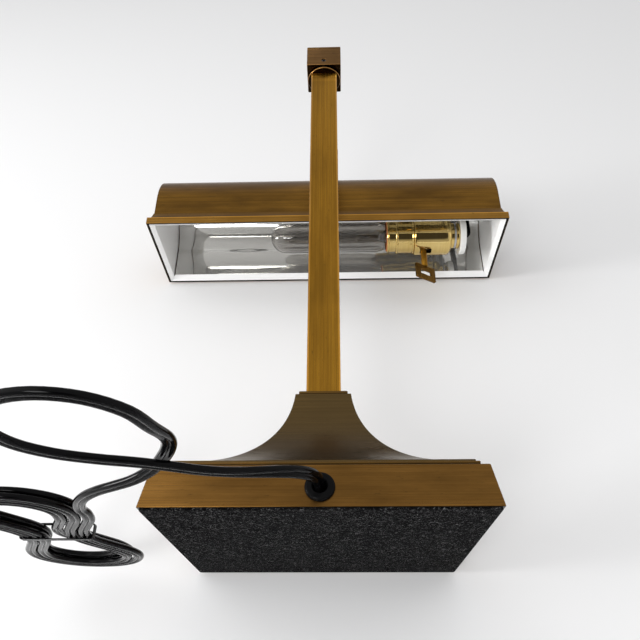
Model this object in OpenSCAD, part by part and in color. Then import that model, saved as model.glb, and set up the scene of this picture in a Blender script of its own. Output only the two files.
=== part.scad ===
// Desk lamp with a trough shade on a swivelling boom, in millimetres.
// +Z is up, the shade hangs over the front (-Y), the cord leaves at the back (+Y).
// The origin is the middle of the base's underside.

/* [Base] */
// Width of the base at its foot
base_w = 182; // [150:1:220]
// Depth of the base at its foot
base_d = 168; // [140:1:200]
// Height of the base shell
base_h = 22.8; // [18:0.2:32]
// How far the shell's sides lean in by its top
base_lean = 4; // [2:0.5:8]
// Wall of the base shell
base_wall = 1.6; // [1:0.1:2.5]
// Thickness of the felt
felt_t = 1.2; // [0.8:0.1:3]
// How far the felt stays inside the shell's edge
felt_inset = 1; // [0.5:0.5:4]
// Thickness of the steel bottom plate
bottom_t = 1.6; // [1:0.1:3]
// Height of the iron weight
weight_h = 11; // [9:0.5:16]
// Room between the weight and the shell's walls
weight_room = 4; // [2:0.5:10]
// Diameter of the cord grommet's flange
grommet_d = 15.5; // [13:0.5:20]
// Height of the grommet above the foot of the shell
grommet_z = 10.3; // [9:0.1:13]

/* [Plinth] */
// How far the plinth plate stays inside the base's top edge
plinth_inset = 4; // [2:0.5:8]
// Thickness of the plinth plate
plinth_t = 3; // [2:0.5:5]
// How far the flare's foot stays inside the plinth plate
flare_inset = 2; // [1:0.5:5]
// Height of the flare
flare_h = 65; // [50:1:80]
// Width of the flare at its top
flare_top = 36; // [33:0.5:44]
// Radius of the flare's hollow curve
flare_r = 72; // [66:1:100]
// Height of the lip round the flare's foot
flare_lip = 1.5; // [1:0.5:3]
// Width of the flat ledge on the lip
flare_ledge = 0.6; // [0.4:0.1:2]
// Wall of the flare
flare_wall = 1.8; // [1.2:0.1:3]
// Width of the square collar plate
collar_w = 31.8; // [28:0.2:33]
// Thickness of the collar plate
collar_t = 3; // [2:0.5:5]

/* [Post] */
// Width of the post
post_w = 23; // [20:0.5:26]
// Depth of the post
post_d = 18.8; // [17:0.2:24]
// Height of the post
post_h = 321; // [240:1:400]
// Chamfer on the post's edges
post_chamfer = 1.2; // [0.6:0.1:2]
// Wall of the post
post_wall = 1.6; // [1:0.1:2.5]
// Diameter of the rod inside the post
rod_d = 10.2; // [9.6:0.1:11]
// Bore of the rod
rod_bore = 8; // [7.4:0.1:8.4]
// Distance across the flats of the rod's nuts
nut_flats = 15; // [13:0.5:16]
// Height of the rod's nuts
nut_h = 4.5; // [4:0.1:4.6]

/* [Swivel] */
// Diameter of the swivel disc
disc_d = 30; // [26:0.5:34]
// Thickness of the swivel disc
disc_t = 2; // [1.5:0.5:4]
// Height of the disc's raised face, which the block turns on
disc_face = 1; // [0.5:0.1:1.5]
// Width of the swivel block
block_w = 30.8; // [28:0.2:36]
// Depth of the swivel block
block_d = 30.8; // [28:0.2:36]
// How far the block's middle lies behind the post's
block_y = 0.6; // [0:0.1:1]
// Height of the swivel block without its cap
block_h = 22.4; // [21:0.2:28]
// Thickness of the block's cap
cap_t = 2.5; // [2:0.5:4]
// Chamfer on the block's edges
block_chamfer = 0.8; // [0.4:0.1:1.5]
// Height of the block's solid floor
block_floor = 9; // [8:0.5:10]
// Diameter of the set screw
set_screw_d = 4; // [3:0.5:5]
// Height of the set screw above the block's underside
set_screw_z = 6.5; // [5:0.1:7]

/* [Boom] */
// Reach of the boom from the post to the shade's pivot
reach = 145; // [135:1:170]
// Width of the boom
boom_w = 23; // [19:0.5:26]
// Height of the boom
boom_t = 16; // [14:0.5:17]
// Wall of the boom
boom_wall = 2; // [1.5:0.5:3]
// Width of the end knuckle
knuckle_w = 24.5; // [22:0.5:28]
// Height of the end knuckle
knuckle_t = 18; // [16:0.5:18]
// Length of the knuckle behind the pivot
knuckle_l = 36; // [30:1:40]
// Slot between the knuckle's cheeks
slot_w = 12.4; // [10:0.2:14]
// How far the slot runs behind the pivot
slot_l = 18; // [16:0.5:22]
// Diameter of the pivot pin
pin_d = 6; // [5:0.5:7]

/* [Shade] */
// Length over the rim
rim_length = 356; // [320:1:400]
// Width over the rim
rim_w = 103; // [98:0.5:112]
// Height of the rim's flat band
rim_band = 8; // [6:0.5:10]
// Height of the hollow curve over the band, as a quarter ellipse
rim_cove = 14; // [10:0.5:18]
// How far the rim stands out from the shade
rim_proud = 4.8; // [4:0.2:6]
// Height of the shade from its rim to its ridge
shade_h = 83.5; // [78:0.5:92]
// Distance from the shade's ridge up to the pivot
ridge_drop = 20; // [19:0.5:26]
// Wall of the shade
shade_wall = 1; // [0.8:0.1:1.6]
// Space between the shade and its reflector
reflector_gap = 2.1; // [1.5:0.1:3]
// Thickness of the reflector
reflector_t = 0.6; // [0.4:0.1:1]
// Open line between the reflector and its end plates
reflector_line = 1.2; // [0.6:0.1:2]
// Height of the slope inside the rim, which the reflector's lips lie under
slope_h = 2.8; // [2.4:0.1:4]
// Length of the bracket's saddle
saddle_l = 44; // [38:1:60]
// Width of the bracket's saddle
saddle_w = 22; // [18:1:24]
// Thickness of the saddle over the ridge
saddle_t = 3; // [2:0.5:4]
// Diameter of the rivets' shanks
rivet_d = 4; // [3:0.5:5]

/* [Socket and bulb] */
// Height of the bulb's axis above the rim
axis_z = 19.5; // [19:0.5:26]
// Distance of the socket's mouth from the shade's end
mouth_inset = 110.7; // [104:0.1:118]
// Radius of the socket's mouth
mouth_r = 16.5; // [16:0.1:17.5]
// Length of the socket's mouth
mouth_l = 10; // [8:0.5:14]
// Radius of the socket's shell
shell_r = 17.6; // [17:0.1:18.5]
// Length of the socket's shell
shell_l = 18; // [16:0.5:22]
// Radius of the socket's cap
cap_r = 20; // [19:0.1:20.5]
// Length of the socket's cap
cap_l = 38.5; // [34:0.5:42]
// Sheet of the socket's shell and cap
socket_wall = 0.9; // [0.6:0.1:1]
// Radius of the neck behind the cap
neck_r = 13.5; // [9:0.5:15]
// Length of the neck behind the cap
neck_l = 9; // [8:0.5:12]
// Radius of the insulating disc
disc_r = 19.5; // [15:0.5:20]
// Thickness of the insulating disc
disc_thick = 5.5; // [2:0.5:7]
// Radius of the bulb's glass
bulb_r = 15.9; // [14:0.1:16]
// Length of the bulb's glass outside the socket
bulb_l = 122; // [100:1:130]
// Wall of the bulb's glass
glass_t = 0.7; // [0.5:0.1:1]
// Distance of the key from the socket's mouth
key_x = 37.5; // [36:0.5:44]
// Radius of the key's stem
stem_r = 3.2; // [2.6:0.1:3.4]
// Length of the key's stem below the cap
stem_l = 19.5; // [10:0.5:24]
// Width of the key's bow
bow_w = 24.6; // [18:0.2:28]
// Height of the key's bow
bow_h = 16.4; // [14:0.2:22]
// Thickness of the key's bow
bow_t = 2.6; // [2:0.2:4]
// Bar round the window in the key's bow
bow_bar = 5.4; // [3:0.2:6]
// Turn of the bow as it was left
bow_turn = 34; // [0:1:90]

/* [Cord] */
// Width of the flat cord
cord_w = 6.6; // [5.6:0.1:6.8]
// Thickness of the flat cord
cord_t = 3.4; // [2.8:0.1:3.4]
// Length of the hank's straight runs
hank_run = 100; // [99:1:132]
// Radius of the hank's tightest fold
hank_r = 20; // [20:0.5:24]
// Step between neighbouring runs
hank_step = 7.6; // [7.4:0.1:8.2]
// How far the runs are drawn in at the tie
hank_waist = 16; // [6:0.5:16]
// Length of the plug's body
plug_l = 30; // [24:1:36]
// Width of the plug's body
plug_w = 24; // [20:1:26]
// Height of the plug's body
plug_h = 12.8; // [11:0.2:13.6]
// Length of the plug's blades
blade_l = 16; // [14:0.5:18]

/* [Hidden] */

$fn = 96;
over = 0.5;
run_clear = 0.05;
thrust_clear = 0.1;
slip = 0.3;

brass = [0.55, 0.41, 0.18];
dark_brass = [0.38, 0.27, 0.12];
bright_brass = [0.85, 0.68, 0.30];
silver = [0.82, 0.83, 0.84];
black = [0.06, 0.06, 0.06];

// Levels up the stand
shell_z = felt_t;
base_top = shell_z + base_h;
flare_z = base_top + plinth_t;
collar_z = flare_z + flare_h;
post_z = collar_z + collar_t;
disc_z = post_z + post_h;
block_z = disc_z + disc_t + disc_face + thrust_clear;
cap_z = block_z + block_h;
boom_z = block_z + (block_h + cap_t) / 2;
weight_z = shell_z + bottom_t;
foot_nut_z = weight_z + slip;
rod_top = block_z + block_floor + thrust_clear + nut_h + 1;

// Plan sizes of the stand
block_back = block_d / 2 + block_y;
block_front = block_d / 2 - block_y;
plinth_w = base_w - 2 * (base_lean + plinth_inset);
plinth_d = base_d - 2 * (base_lean + plinth_inset);
flare_w = plinth_w - 2 * flare_inset;
flare_d = plinth_d - 2 * flare_inset;
weight_w = base_w - 2 * (base_wall + weight_room);
weight_d = base_d - 2 * (base_wall + weight_room);
bottom_room = 0.8;
lean_angle = atan(base_lean / base_h);
grommet_at = [0, base_d / 2 - base_lean * grommet_z / base_h, shell_z + grommet_z];
grommet_neck_d = grommet_d - 4;
grommet_wall = base_wall * (1 + base_lean / base_h) * cos(lean_angle);
grommet_flange = 2.2;
cord_room = 0.2;
channel_w = grommet_d + 2;
rod_room = 0.2;

// Shade
pivot = [0, -reach, boom_z];
shade_r = rim_w / 2 - rim_proud;
end_x = rim_length / 2 - rim_proud;
trough_x = end_x - shade_wall;
ridge_z = boom_z - ridge_drop;
rim_z = ridge_z - shade_h;
arc_z = ridge_z - shade_r;
inner_r = shade_r - shade_wall;
mirror_r = inner_r - reflector_gap;
mirror_in_r = mirror_r - reflector_t;
mirror_end_x = trough_x - slip;
mirror_x = mirror_end_x - reflector_t - reflector_line;

// Rim: width of its lower edge, angle that its hollow curve turns through, and the slope inside it
rim_edge = 0.9;
cove_turn = 65;
rim_h = rim_band + rim_cove * (1 - cos(cove_turn));
slope_out = rim_proud - rim_edge;
slope_angle = atan(slope_h / slope_out);
wall_foot = rim_z + slope_h * (slope_out + shade_wall) / slope_out + 0.7;

// Reflector's lips: how far they lie under the slope, their upright thickness and their reach past the wall
lip_drop = slip / cos(slope_angle);
lip_t = reflector_t / cos(slope_angle);
lip_out = slope_out * (1 - (lip_drop + lip_t + 0.1) / slope_h);
mitre_gap = 0.15;

// Bracket
lug_room = 0.2;
lug_w = slot_w - 2 * lug_room;
lug_r = knuckle_t / 2;
rivet_x = (saddle_l + lug_w) / 4;

// Socket and bulb, along X at the bulb's axis
mouth_x = end_x - mouth_inset;
bulb_axis = [0, -reach, rim_z + axis_z];
shell_x = mouth_x + mouth_l;
cap_x = shell_x + shell_l;
neck_x = cap_x + cap_l;
strap_t = 2;
strap_w = 16;
strap_x = neck_x + (neck_l - strap_t) / 2;
disc_x = neck_x + neck_l;
nipple_r = 5;
lead_r = 3.2;
lead_bend = 5;
base_r = 13;
liner_t = 0.8;
liner_out = 0.7;
screw_t = 0.6;
shell_tuck = 2;
screw_r = base_r + slip;
base_l = 25;
bulb_tuck = 2;
rod_r = 1.2;
rod_past = 6;
bulb_shoulder = 12;
filament_gap = 20;
core_x = mouth_x + base_l + 4;
core_r = mouth_r - socket_wall - slip;
spindle_r = 2;
spindle_l = 7;
key_at = [-mouth_x - key_x, -reach, 0];
slot_ends = [stem_r + 0.5, stem_r + 5];

// Cord: the middle of the hank, and the heights of its two layers
hank_at = [156, 20];
tie_t = 0.6;
layer_gap = 0.5;
layer_1 = tie_t + 0.2 + cord_t / 2;
layer_2 = layer_1 + cord_t + layer_gap;
tail = 36;
fold_rings = 9;
run_rings = 8;
hank_runs = 8;
climb_run = 4;

// Points along the cord from the grommet to the hank
cord_route = [
    [0, 72, 10], [0, 76, 10.2], [0, 84, 11.6], [1, 92, 12.6], [4, 100, 12.4], [9.5, 108, 11],
    [17, 115.5, 8.8], [26.5, 123, 6.2], [37, 130.5, 3.8], [48.5, 138, 2.2], [60.5, 144.5, 1.9],
    [73, 149.5, 1.9], [88, 154, 1.9], [103, 161, 1.9], [114, 172, 1.9], [118, 187, 1.9],
    [114, 202, 1.9], [103, 213, 1.9], [88, 217, 1.9], [73, 213, 1.9], [62, 202, 1.9],
    [57.5, 187, 2.2], [56, 174, 4.2], [57, 162.5, 6], [59.5, 153, 6.5], [63, 144.5, 6.5],
    [67.5, 136.5, 5.6], [74, 129.5, 3.9], [82, 123.5, 2.5], [91, 118, 1.9], [100, 111.5, 1.9],
    [107.5, 104.5, 1.9], [113.5, 96.5, 2], [118, 87.5, 2.2],
    [hank_at[0] - run_r(0), hank_at[1] + hank_run / 2 + 8, layer_1],
    [hank_at[0] - run_r(0), hank_at[1] + hank_run / 2, layer_1]
];

// Flat two-core cord section, as a rectangle with its corners cut off
cord_flat = cord_w / 2 - cord_t * 0.3;
cord_edge = cord_t * 0.18;
cord_shape = [
    [cord_w / 2, cord_edge], [cord_flat, cord_t / 2], [-cord_flat, cord_t / 2], [-cord_w / 2, cord_edge],
    [-cord_w / 2, -cord_edge], [-cord_flat, -cord_t / 2], [cord_flat, -cord_t / 2], [cord_w / 2, -cord_edge]
];

function unit(v) = v / norm(v);
function smooth(t) = let (c = min(1, max(0, t))) c * c * (3 - 2 * c);
function heading(p, i) = unit(p[min(i + 1, len(p) - 1)] - p[max(i - 1, 0)]);
function path_length(p) = [for (i = [1:len(p) - 1]) norm(p[i] - p[i - 1])] * [for (i = [1:len(p) - 1]) 1];

// Runs of the hank: radius, side and height of run k, then the points of the whole hank
function run_r(k) = hank_r + abs(climb_run - k) * hank_step / 2;
function run_side(k) = k % 2 == 0 ? -1 : 1;
function run_z(k, t) =
    k < climb_run ? layer_1 : k > climb_run ? layer_2 : layer_1 + (layer_2 - layer_1) * smooth(t);
function waist_in(y) = hank_waist * pow(cos(180 * y / hank_run), 2);
function run_points(k) = [
    for (i = [0:run_rings - 1])
        let (t = i / run_rings, y = (t - 0.5) * hank_run)
            [run_side(k) * (run_r(k) - waist_in(y)), run_side(k) * y, run_z(k, t)]
];
function fold_points(k) = [
    for (i = [0:fold_rings - 1])
        let (t = i / fold_rings, r = run_r(k) + (run_r(k + 1) - run_r(k)) * t)
            [run_side(k) * r * cos(180 * t), run_side(k) * (hank_run / 2 + r * sin(180 * t)), run_z(k, 1)]
];
last_run = hank_runs - 1;
hank_flat = [
    for (k = [0:last_run]) each concat(run_points(k), k < last_run ? fold_points(k) : []),
    [run_side(last_run) * run_r(last_run), hank_run / 2, layer_2],
    [run_side(last_run) * run_r(last_run), hank_run / 2 + tail / 2, layer_2],
    [run_side(last_run) * run_r(last_run), hank_run / 2 + tail, layer_2]
];
hank_route = [for (p = hank_flat) [p[0] + hank_at[0], p[1] + hank_at[1], p[2]]];
hank_end = hank_route[len(hank_route) - 1];

// Least gap between stretches of the hank that aren't neighbours along it
function flat_gap(a, b) =
    norm([max(0, norm([a[0] - b[0], a[1] - b[1]]) - cord_w), max(0, abs(a[2] - b[2]) - cord_t)]);
function finer(p) = [
    for (i = [0:len(p) - 2]) each [p[i], (2 * p[i] + p[i + 1]) / 3, (p[i] + 2 * p[i + 1]) / 3]
];
fine = finer(hank_route);
apart = 9;
least_gap = min([
    for (i = [0:len(fine) - 1 - apart]) for (j = [i + apart:len(fine) - 1]) flat_gap(fine[i], fine[j])
]);
echo(least_gap_in_hank = least_gap);
echo(cord_length = path_length(cord_route) + path_length(hank_route));

// A tube of the given section along points, with its section's first axis kept along side
module sweep(points, shape, sides) {
    n = len(shape);
    m = len(points);
    rings = [
        for (i = [0:m - 1])
            let (f = heading(points, i), s = unit(sides[i] - f * (sides[i] * f)), u = cross(s, f))
                for (q = shape) points[i] + q[0] * s + q[1] * u
    ];
    walls = [
        for (i = [0:m - 2]) for (j = [0:n - 1])
            let (a = i * n + j, b = i * n + (j + 1) % n)
                each [[a, b, a + n], [b, b + n, a + n]]
    ];
    ends = [for (j = [1:n - 2]) each [[0, j + 1, j], [(m - 1) * n, (m - 1) * n + j, (m - 1) * n + j + 1]]];
    polyhedron(rings, concat(walls, ends), convexity = 10);
}

// A tube of flat cord that lies on its wide side
module flat_cord(points) {
    sweep(points, cord_shape, [for (i = [0:len(points) - 1]) cross(heading(points, i), [0, 0, 1])]);
}

// A block that stands where the flat profiles given for its front and its side meet
module two_way(length) {
    intersection() {
        rotate([90, 0, 0]) linear_extrude(length, center = true) children(0);
        rotate([90, 0, 90]) linear_extrude(length, center = true) children(1);
    }
}

// Profile of the leaning base, seen along one side
module lean_profile(w, h, lean) {
    polygon([[-w / 2, 0], [w / 2, 0], [w / 2 - lean, h], [-w / 2 + lean, h]]);
}

// Profile of the flare: a block with a circle cut out of each side
module flare_profile(foot, top, h, lip) {
    run = (foot - top) / 2 - flare_ledge;
    rise = h - lip;
    chord = norm([run, rise]);
    back = sqrt(flare_r * flare_r - chord * chord / 4);
    cx = top / 2 + run / 2 + back * rise / chord;
    cz = lip + rise / 2 + back * run / chord;
    difference() {
        translate([-foot / 2, 0]) square([foot, h]);
        intersection() {
            for (s = [-1, 1]) translate([s * cx, cz]) circle(flare_r, $fn = 180);
            translate([-foot, lip]) square([2 * foot, h]);
        }
    }
}

// Rectangle with its corners cut off
module chamfered(w, d, c) {
    polygon([
        for (s = [[1, -1], [1, 1], [-1, 1], [-1, -1]])
            each (s[0] * s[1] < 0
                ? [[s[0] * (w / 2 - c), s[1] * d / 2], [s[0] * w / 2, s[1] * (d / 2 - c)]]
                : [[s[0] * w / 2, s[1] * (d / 2 - c)], [s[0] * (w / 2 - c), s[1] * d / 2]])
    ]);
}

// Rectangle with round corners
module rounded(w, h, r) {
    square([w - 2 * r, h], center = true);
    square([w, h - 2 * r], center = true);
    for (x = [-1, 1]) for (y = [-1, 1]) translate([x * (w / 2 - r), y * (h / 2 - r)]) circle(r, $fn = 32);
}

// Arch of the shade seen along X: a half round on straight sides that end at foot
module arch(r, foot) {
    intersection() {
        translate([0, arc_z]) circle(r, $fn = 180);
        translate([-r, arc_z - over]) square([2 * r, r + over]);
    }
    translate([-r, foot]) square([2 * r, arc_z - foot]);
}

// Lays a profile drawn in Y and Z along X, from x0 to x1, at the shade's middle
module along_x(x0, x1) {
    translate([x0, -reach, 0]) rotate([90, 0, 90]) linear_extrude(x1 - x0) children();
}

// Turns a profile drawn as (distance from the mouth, radius) round the bulb's axis, away from the mouth
module on_axis(x) {
    translate([-x, bulb_axis[1], bulb_axis[2]]) rotate([0, -90, 0]) children();
}

module hex_nut(bore) {
    difference() {
        cylinder(d = nut_flats / cos(30), h = nut_h, $fn = 6);
        translate([0, 0, -over]) cylinder(d = bore, h = nut_h + 2 * over);
    }
}

// Stand

module felt_pad() {
    color([0.2, 0.2, 0.21])
        linear_extrude(felt_t) rounded(base_w - 2 * felt_inset, base_d - 2 * felt_inset, 2);
}

module base_plate() {
    inset = base_wall + bottom_room;
    color("gray") translate([0, 0, shell_z])
        linear_extrude(bottom_t) square([base_w - 2 * inset, base_d - 2 * inset], center = true);
}

module base_weight() {
    nut_room = nut_flats / cos(30) + 2;
    nut_top = foot_nut_z + nut_h - weight_z;
    channel_z = grommet_at[2] - grommet_d / 2;
    color([0.25, 0.25, 0.26]) difference() {
        translate([0, 0, weight_z]) two_way(2 * base_w) {
            lean_profile(weight_w, weight_h, base_lean * weight_h / base_h);
            lean_profile(weight_d, weight_h, base_lean * weight_h / base_h);
        }
        translate([0, 0, weight_z - over]) cylinder(d = rod_d + 2 * rod_room, h = weight_h + 2 * over);
        translate([0, 0, weight_z - over]) cylinder(d = nut_room, h = nut_top + over);
        translate([-channel_w / 2, 0, channel_z]) cube([channel_w, base_d, weight_h + base_h]);
    }
}

module base_shell() {
    color(brass) difference() {
        translate([0, 0, shell_z]) two_way(2 * base_w) {
            lean_profile(base_w, base_h, base_lean);
            lean_profile(base_d, base_h, base_lean);
        }
        translate([0, 0, shell_z - base_wall]) two_way(2 * base_w) {
            lean_profile(base_w - 2 * base_wall, base_h, base_lean);
            lean_profile(base_d - 2 * base_wall, base_h, base_lean);
        }
        translate([0, 0, base_top - 2 * base_wall]) cylinder(d = rod_d + 2 * rod_room, h = 3 * base_wall);
        at_grommet() translate([0, 0, -grommet_d]) cylinder(d = grommet_neck_d, h = 2 * grommet_d);
    }
}

// Places a piece whose +Z points out of the base's back wall at the grommet
module at_grommet() {
    translate(grommet_at) rotate([-90 + lean_angle, 0, 0]) children();
}

module cord_grommet() {
    inside = -grommet_wall - grommet_flange;
    inner_d = grommet_d - 1.5;
    seat = 0.02;
    color(black) at_grommet() difference() {
        union() {
            rotate_extrude() grommet_profile();
            translate([0, 0, inside]) cylinder(d = grommet_neck_d, h = grommet_flange - inside);
            translate([0, 0, inside]) cylinder(d = inner_d, h = grommet_flange - seat);
        }
        translate([0, 0, -grommet_d]) linear_extrude(2 * grommet_d)
            rounded(cord_w + 2 * cord_room, cord_t + 2 * cord_room, cord_t / 2);
    }
}

// Half section of the grommet's outer flange, with its edge rounded off
module grommet_profile() {
    edge = grommet_flange * 0.7;
    square([grommet_d / 2 - edge, grommet_flange]);
    square([grommet_d / 2, grommet_flange - edge]);
    translate([grommet_d / 2 - edge, grommet_flange - edge]) intersection() {
        circle(edge, $fn = 32);
        square(edge);
    }
}

module plinth_plate() {
    color(dark_brass) translate([0, 0, base_top]) difference() {
        linear_extrude(plinth_t) chamfered(plinth_w, plinth_d, 0.8);
        translate([0, 0, -over]) cylinder(d = rod_d + 2 * rod_room, h = plinth_t + 2 * over);
    }
}

module flare() {
    color(dark_brass) difference() {
        translate([0, 0, flare_z]) two_way(2 * base_w) {
            flare_profile(flare_w, flare_top, flare_h, flare_lip);
            flare_profile(flare_d, flare_top, flare_h, flare_lip);
        }
        translate([0, 0, flare_z - flare_wall]) two_way(2 * base_w) {
            flare_profile(flare_w - 2 * flare_wall, flare_top - 2 * flare_wall, flare_h, flare_lip);
            flare_profile(flare_d - 2 * flare_wall, flare_top - 2 * flare_wall, flare_h, flare_lip);
        }
        translate([0, 0, collar_z - 2 * flare_wall]) cylinder(d = rod_d + 2 * rod_room, h = 3 * flare_wall);
    }
}

module collar_plate() {
    color(dark_brass) translate([0, 0, collar_z]) difference() {
        linear_extrude(collar_t) chamfered(collar_w, collar_w, 0.8);
        translate([0, 0, -over]) cylinder(d = rod_d + 2 * rod_room, h = collar_t + 2 * over);
    }
}

module post() {
    color(brass) translate([0, 0, post_z]) linear_extrude(post_h) difference() {
        chamfered(post_w, post_d, post_chamfer);
        chamfered(post_w - 2 * post_wall, post_d - 2 * post_wall, post_chamfer / 2);
    }
}

module post_rod() {
    window_w = cord_w + 2 * cord_room;
    window_z = grommet_at[2] - cord_t - foot_nut_z;
    color("silver") translate([0, 0, foot_nut_z]) difference() {
        cylinder(d = rod_d, h = rod_top - foot_nut_z);
        translate([0, 0, -over]) cylinder(d = rod_bore, h = rod_top - foot_nut_z + 2 * over);
        translate([-window_w / 2, 0, window_z]) cube([window_w, rod_d, 3 * cord_t]);
    }
}

module rod_nut_foot() {
    color("gray") translate([0, 0, foot_nut_z]) hex_nut(rod_d);
}

module rod_nut_head() {
    color("gray") translate([0, 0, block_z + block_floor + thrust_clear]) hex_nut(rod_d);
}

// Cord inside the stand, from the grommet to the top of the rod
module post_lead() {
    turn = 7;
    start = cord_route[0];
    way = [
        start,
        [0, start[1] / 2, start[2]],
        for (a = [0:22.5:90]) [0, turn * (1 - sin(a)), start[2] + turn * (1 - cos(a))],
        [0, 0, rod_top / 2],
        [0, 0, rod_top - 1]
    ];
    color(black) sweep(way, cord_shape, [for (p = way) [-1, 0, 0]]);
}

module swivel_disc() {
    face_in = 3;
    color(brass) translate([0, 0, disc_z]) difference() {
        union() {
            cylinder(d = disc_d, h = disc_t);
            cylinder(d = disc_d - 2 * face_in, h = disc_t + disc_face);
        }
        translate([0, 0, -over]) cylinder(d = rod_d + 2 * rod_room, h = disc_t + disc_face + 2 * over);
    }
}

module cord_lead() {
    color(black) flat_cord(cord_route);
}

module cord_hank() {
    color(black) flat_cord(hank_route);
}

// Band that holds the hank at its waist
module cord_tie() {
    reach_in = run_r(0) - hank_waist + cord_w / 2 + tie_t / 2;
    reach_out = run_r(1) - hank_waist + cord_w / 2 + tie_t / 2;
    tie_w = reach_in + reach_out + 2 * tie_t;
    tie_h = layer_2 + cord_t / 2 + 2 * tie_t;
    color(black) translate([hank_at[0] + (reach_out - reach_in) / 2, hank_at[1], tie_h / 2])
        rotate([90, 0, 0]) linear_extrude(4, center = true) difference() {
            rounded(tie_w, tie_h, 1.6);
            rounded(tie_w - 2 * tie_t, tie_h - 2 * tie_t, 1);
        }
}

// Body of the plug, narrower at the cord's end
module plug_body() {
    neck_w = cord_w + 5;
    neck_y = plug_l * 0.2;
    wide_y = plug_l * 0.55;
    side = [[neck_w / 2, 0], [neck_w / 2, neck_y], [plug_w / 2, wide_y], [plug_w / 2, plug_l]];
    outline = concat(side, [for (i = [len(side) - 1:-1:0]) [-side[i][0], side[i][1]]]);
    color(black) translate([hank_end[0], hank_end[1], 0]) intersection() {
        linear_extrude(plug_h) polygon(outline);
        rotate([90, 0, 0]) linear_extrude(3 * plug_l, center = true)
            translate([0, plug_h / 2]) rounded(plug_w, plug_h, 2.5);
    }
}

module plug_blades() {
    pitch = 12.7;
    blade_w = 6.35;
    blade_t = 1.5;
    color("silver") translate([hank_end[0], hank_end[1] + plug_l, plug_h / 2])
        for (s = [-1, 1])
            translate([s * pitch / 2 - blade_t / 2, 0, -blade_w / 2]) cube([blade_t, blade_l, blade_w]);
}

// Boom

module swivel_block() {
    cavity_d = nut_flats / cos(30) + 2;
    wire_hole_d = boom_t - 2 * boom_wall - 4;
    screw_stop = 0.6;
    color(dark_brass) difference() {
        translate([0, block_y, block_z]) linear_extrude(block_h) chamfered(block_w, block_d, block_chamfer);
        translate([0, 0, block_z - over]) cylinder(d = rod_d + 2 * run_clear, h = block_h);
        translate([0, 0, block_z + block_floor]) cylinder(d = cavity_d, h = block_h);
        translate([0, block_back + over, block_z + set_screw_z]) rotate([90, 0, 0])
            cylinder(d = set_screw_d, h = block_back - rod_d / 2 + over - screw_stop);
        translate([0, 0, boom_z]) rotate([90, 0, 0]) cylinder(d = wire_hole_d, h = block_d);
    }
}

module block_cap() {
    color(dark_brass) translate([0, block_y, cap_z])
        linear_extrude(cap_t) chamfered(block_w, block_d, block_chamfer);
}

module block_set_screw() {
    sink = 1;
    length = block_back - rod_d / 2 - sink - 1;
    key_depth = 2;
    color([0.1, 0.1, 0.1]) translate([0, block_back - sink, block_z + set_screw_z])
        rotate([90, 0, 0]) difference() {
            cylinder(d = set_screw_d, h = length);
            translate([0, 0, -over]) cylinder(d = set_screw_d * 0.55, h = key_depth + over, $fn = 6);
        }
}

module boom_tube() {
    length = reach - knuckle_l - block_front;
    color(brass) translate([0, -block_front, boom_z]) rotate([90, 0, 0]) linear_extrude(length) difference() {
        chamfered(boom_w, boom_t, post_chamfer);
        chamfered(boom_w - 2 * boom_wall, boom_t - 2 * boom_wall, post_chamfer / 2);
    }
}

module boom_lead() {
    length = reach - knuckle_l - block_front;
    floor_z = boom_z - boom_t / 2 + boom_wall;
    color(black) translate([0, -block_front, floor_z + lead_r + cord_room])
        rotate([90, 0, 0]) cylinder(r = lead_r, h = length - cord_room);
}

module boom_knuckle() {
    color(dark_brass) difference() {
        union() {
            translate([-knuckle_w / 2, -reach, boom_z - knuckle_t / 2])
                cube([knuckle_w, knuckle_l, knuckle_t]);
            translate(pivot) rotate([0, 90, 0]) cylinder(d = knuckle_t, h = knuckle_w, center = true);
        }
        translate([-slot_w / 2, -reach - knuckle_t, boom_z - knuckle_t])
            cube([slot_w, slot_l + knuckle_t, 2 * knuckle_t]);
        translate(pivot) rotate([0, 90, 0]) cylinder(d = pin_d, h = knuckle_w + 2 * over, center = true);
    }
}

module pivot_pin() {
    color(bright_brass) translate(pivot) rotate([0, 90, 0]) cylinder(d = pin_d, h = knuckle_w, center = true);
}

// Shade

// Round of the shade's top as a whole cylinder along X
module shade_round(r, length) {
    translate([0, -reach, arc_z]) rotate([0, 90, 0]) cylinder(r = r, h = length, center = true, $fn = 180);
}

module shade_bracket() {
    saddle_top = ridge_z + saddle_t - arc_z;
    bore_d = pin_d + 2 * run_clear;
    color(dark_brass) difference() {
        union() {
            translate(pivot) rotate([0, 90, 0]) cylinder(r = lug_r, h = lug_w, center = true);
            translate([-lug_w / 2, -reach - lug_r, arc_z]) cube([lug_w, 2 * lug_r, boom_z - arc_z]);
            translate([-saddle_l / 2, -reach - saddle_w / 2, arc_z]) cube([saddle_l, saddle_w, saddle_top]);
        }
        translate(pivot) rotate([0, 90, 0]) cylinder(d = bore_d, h = lug_w + 2 * over, center = true);
        shade_round(shade_r, saddle_l + 2 * over);
        rivet_holes();
    }
}

module rivet_holes() {
    for (s = [-1, 1]) translate([s * rivet_x, -reach, arc_z]) cylinder(d = rivet_d, h = 2 * shade_r);
}

module bracket_rivets() {
    head_h = 1.6;
    tail_r = 0.8 * rivet_d;
    tail_h = 1;
    tail_top = arc_z + sqrt(inner_r * inner_r - tail_r * tail_r) - run_clear;
    color(bright_brass) for (s = [-1, 1]) translate([s * rivet_x, -reach, 0]) {
        translate([0, 0, tail_top]) cylinder(d = rivet_d, h = ridge_z + saddle_t - tail_top);
        translate([0, 0, ridge_z + saddle_t]) intersection() {
            cylinder(d = 2 * rivet_d, h = head_h);
            translate([0, 0, head_h - 2 * rivet_d]) sphere(2 * rivet_d);
        }
        translate([0, 0, tail_top - tail_h]) cylinder(r = tail_r, h = tail_h);
    }
}

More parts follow.
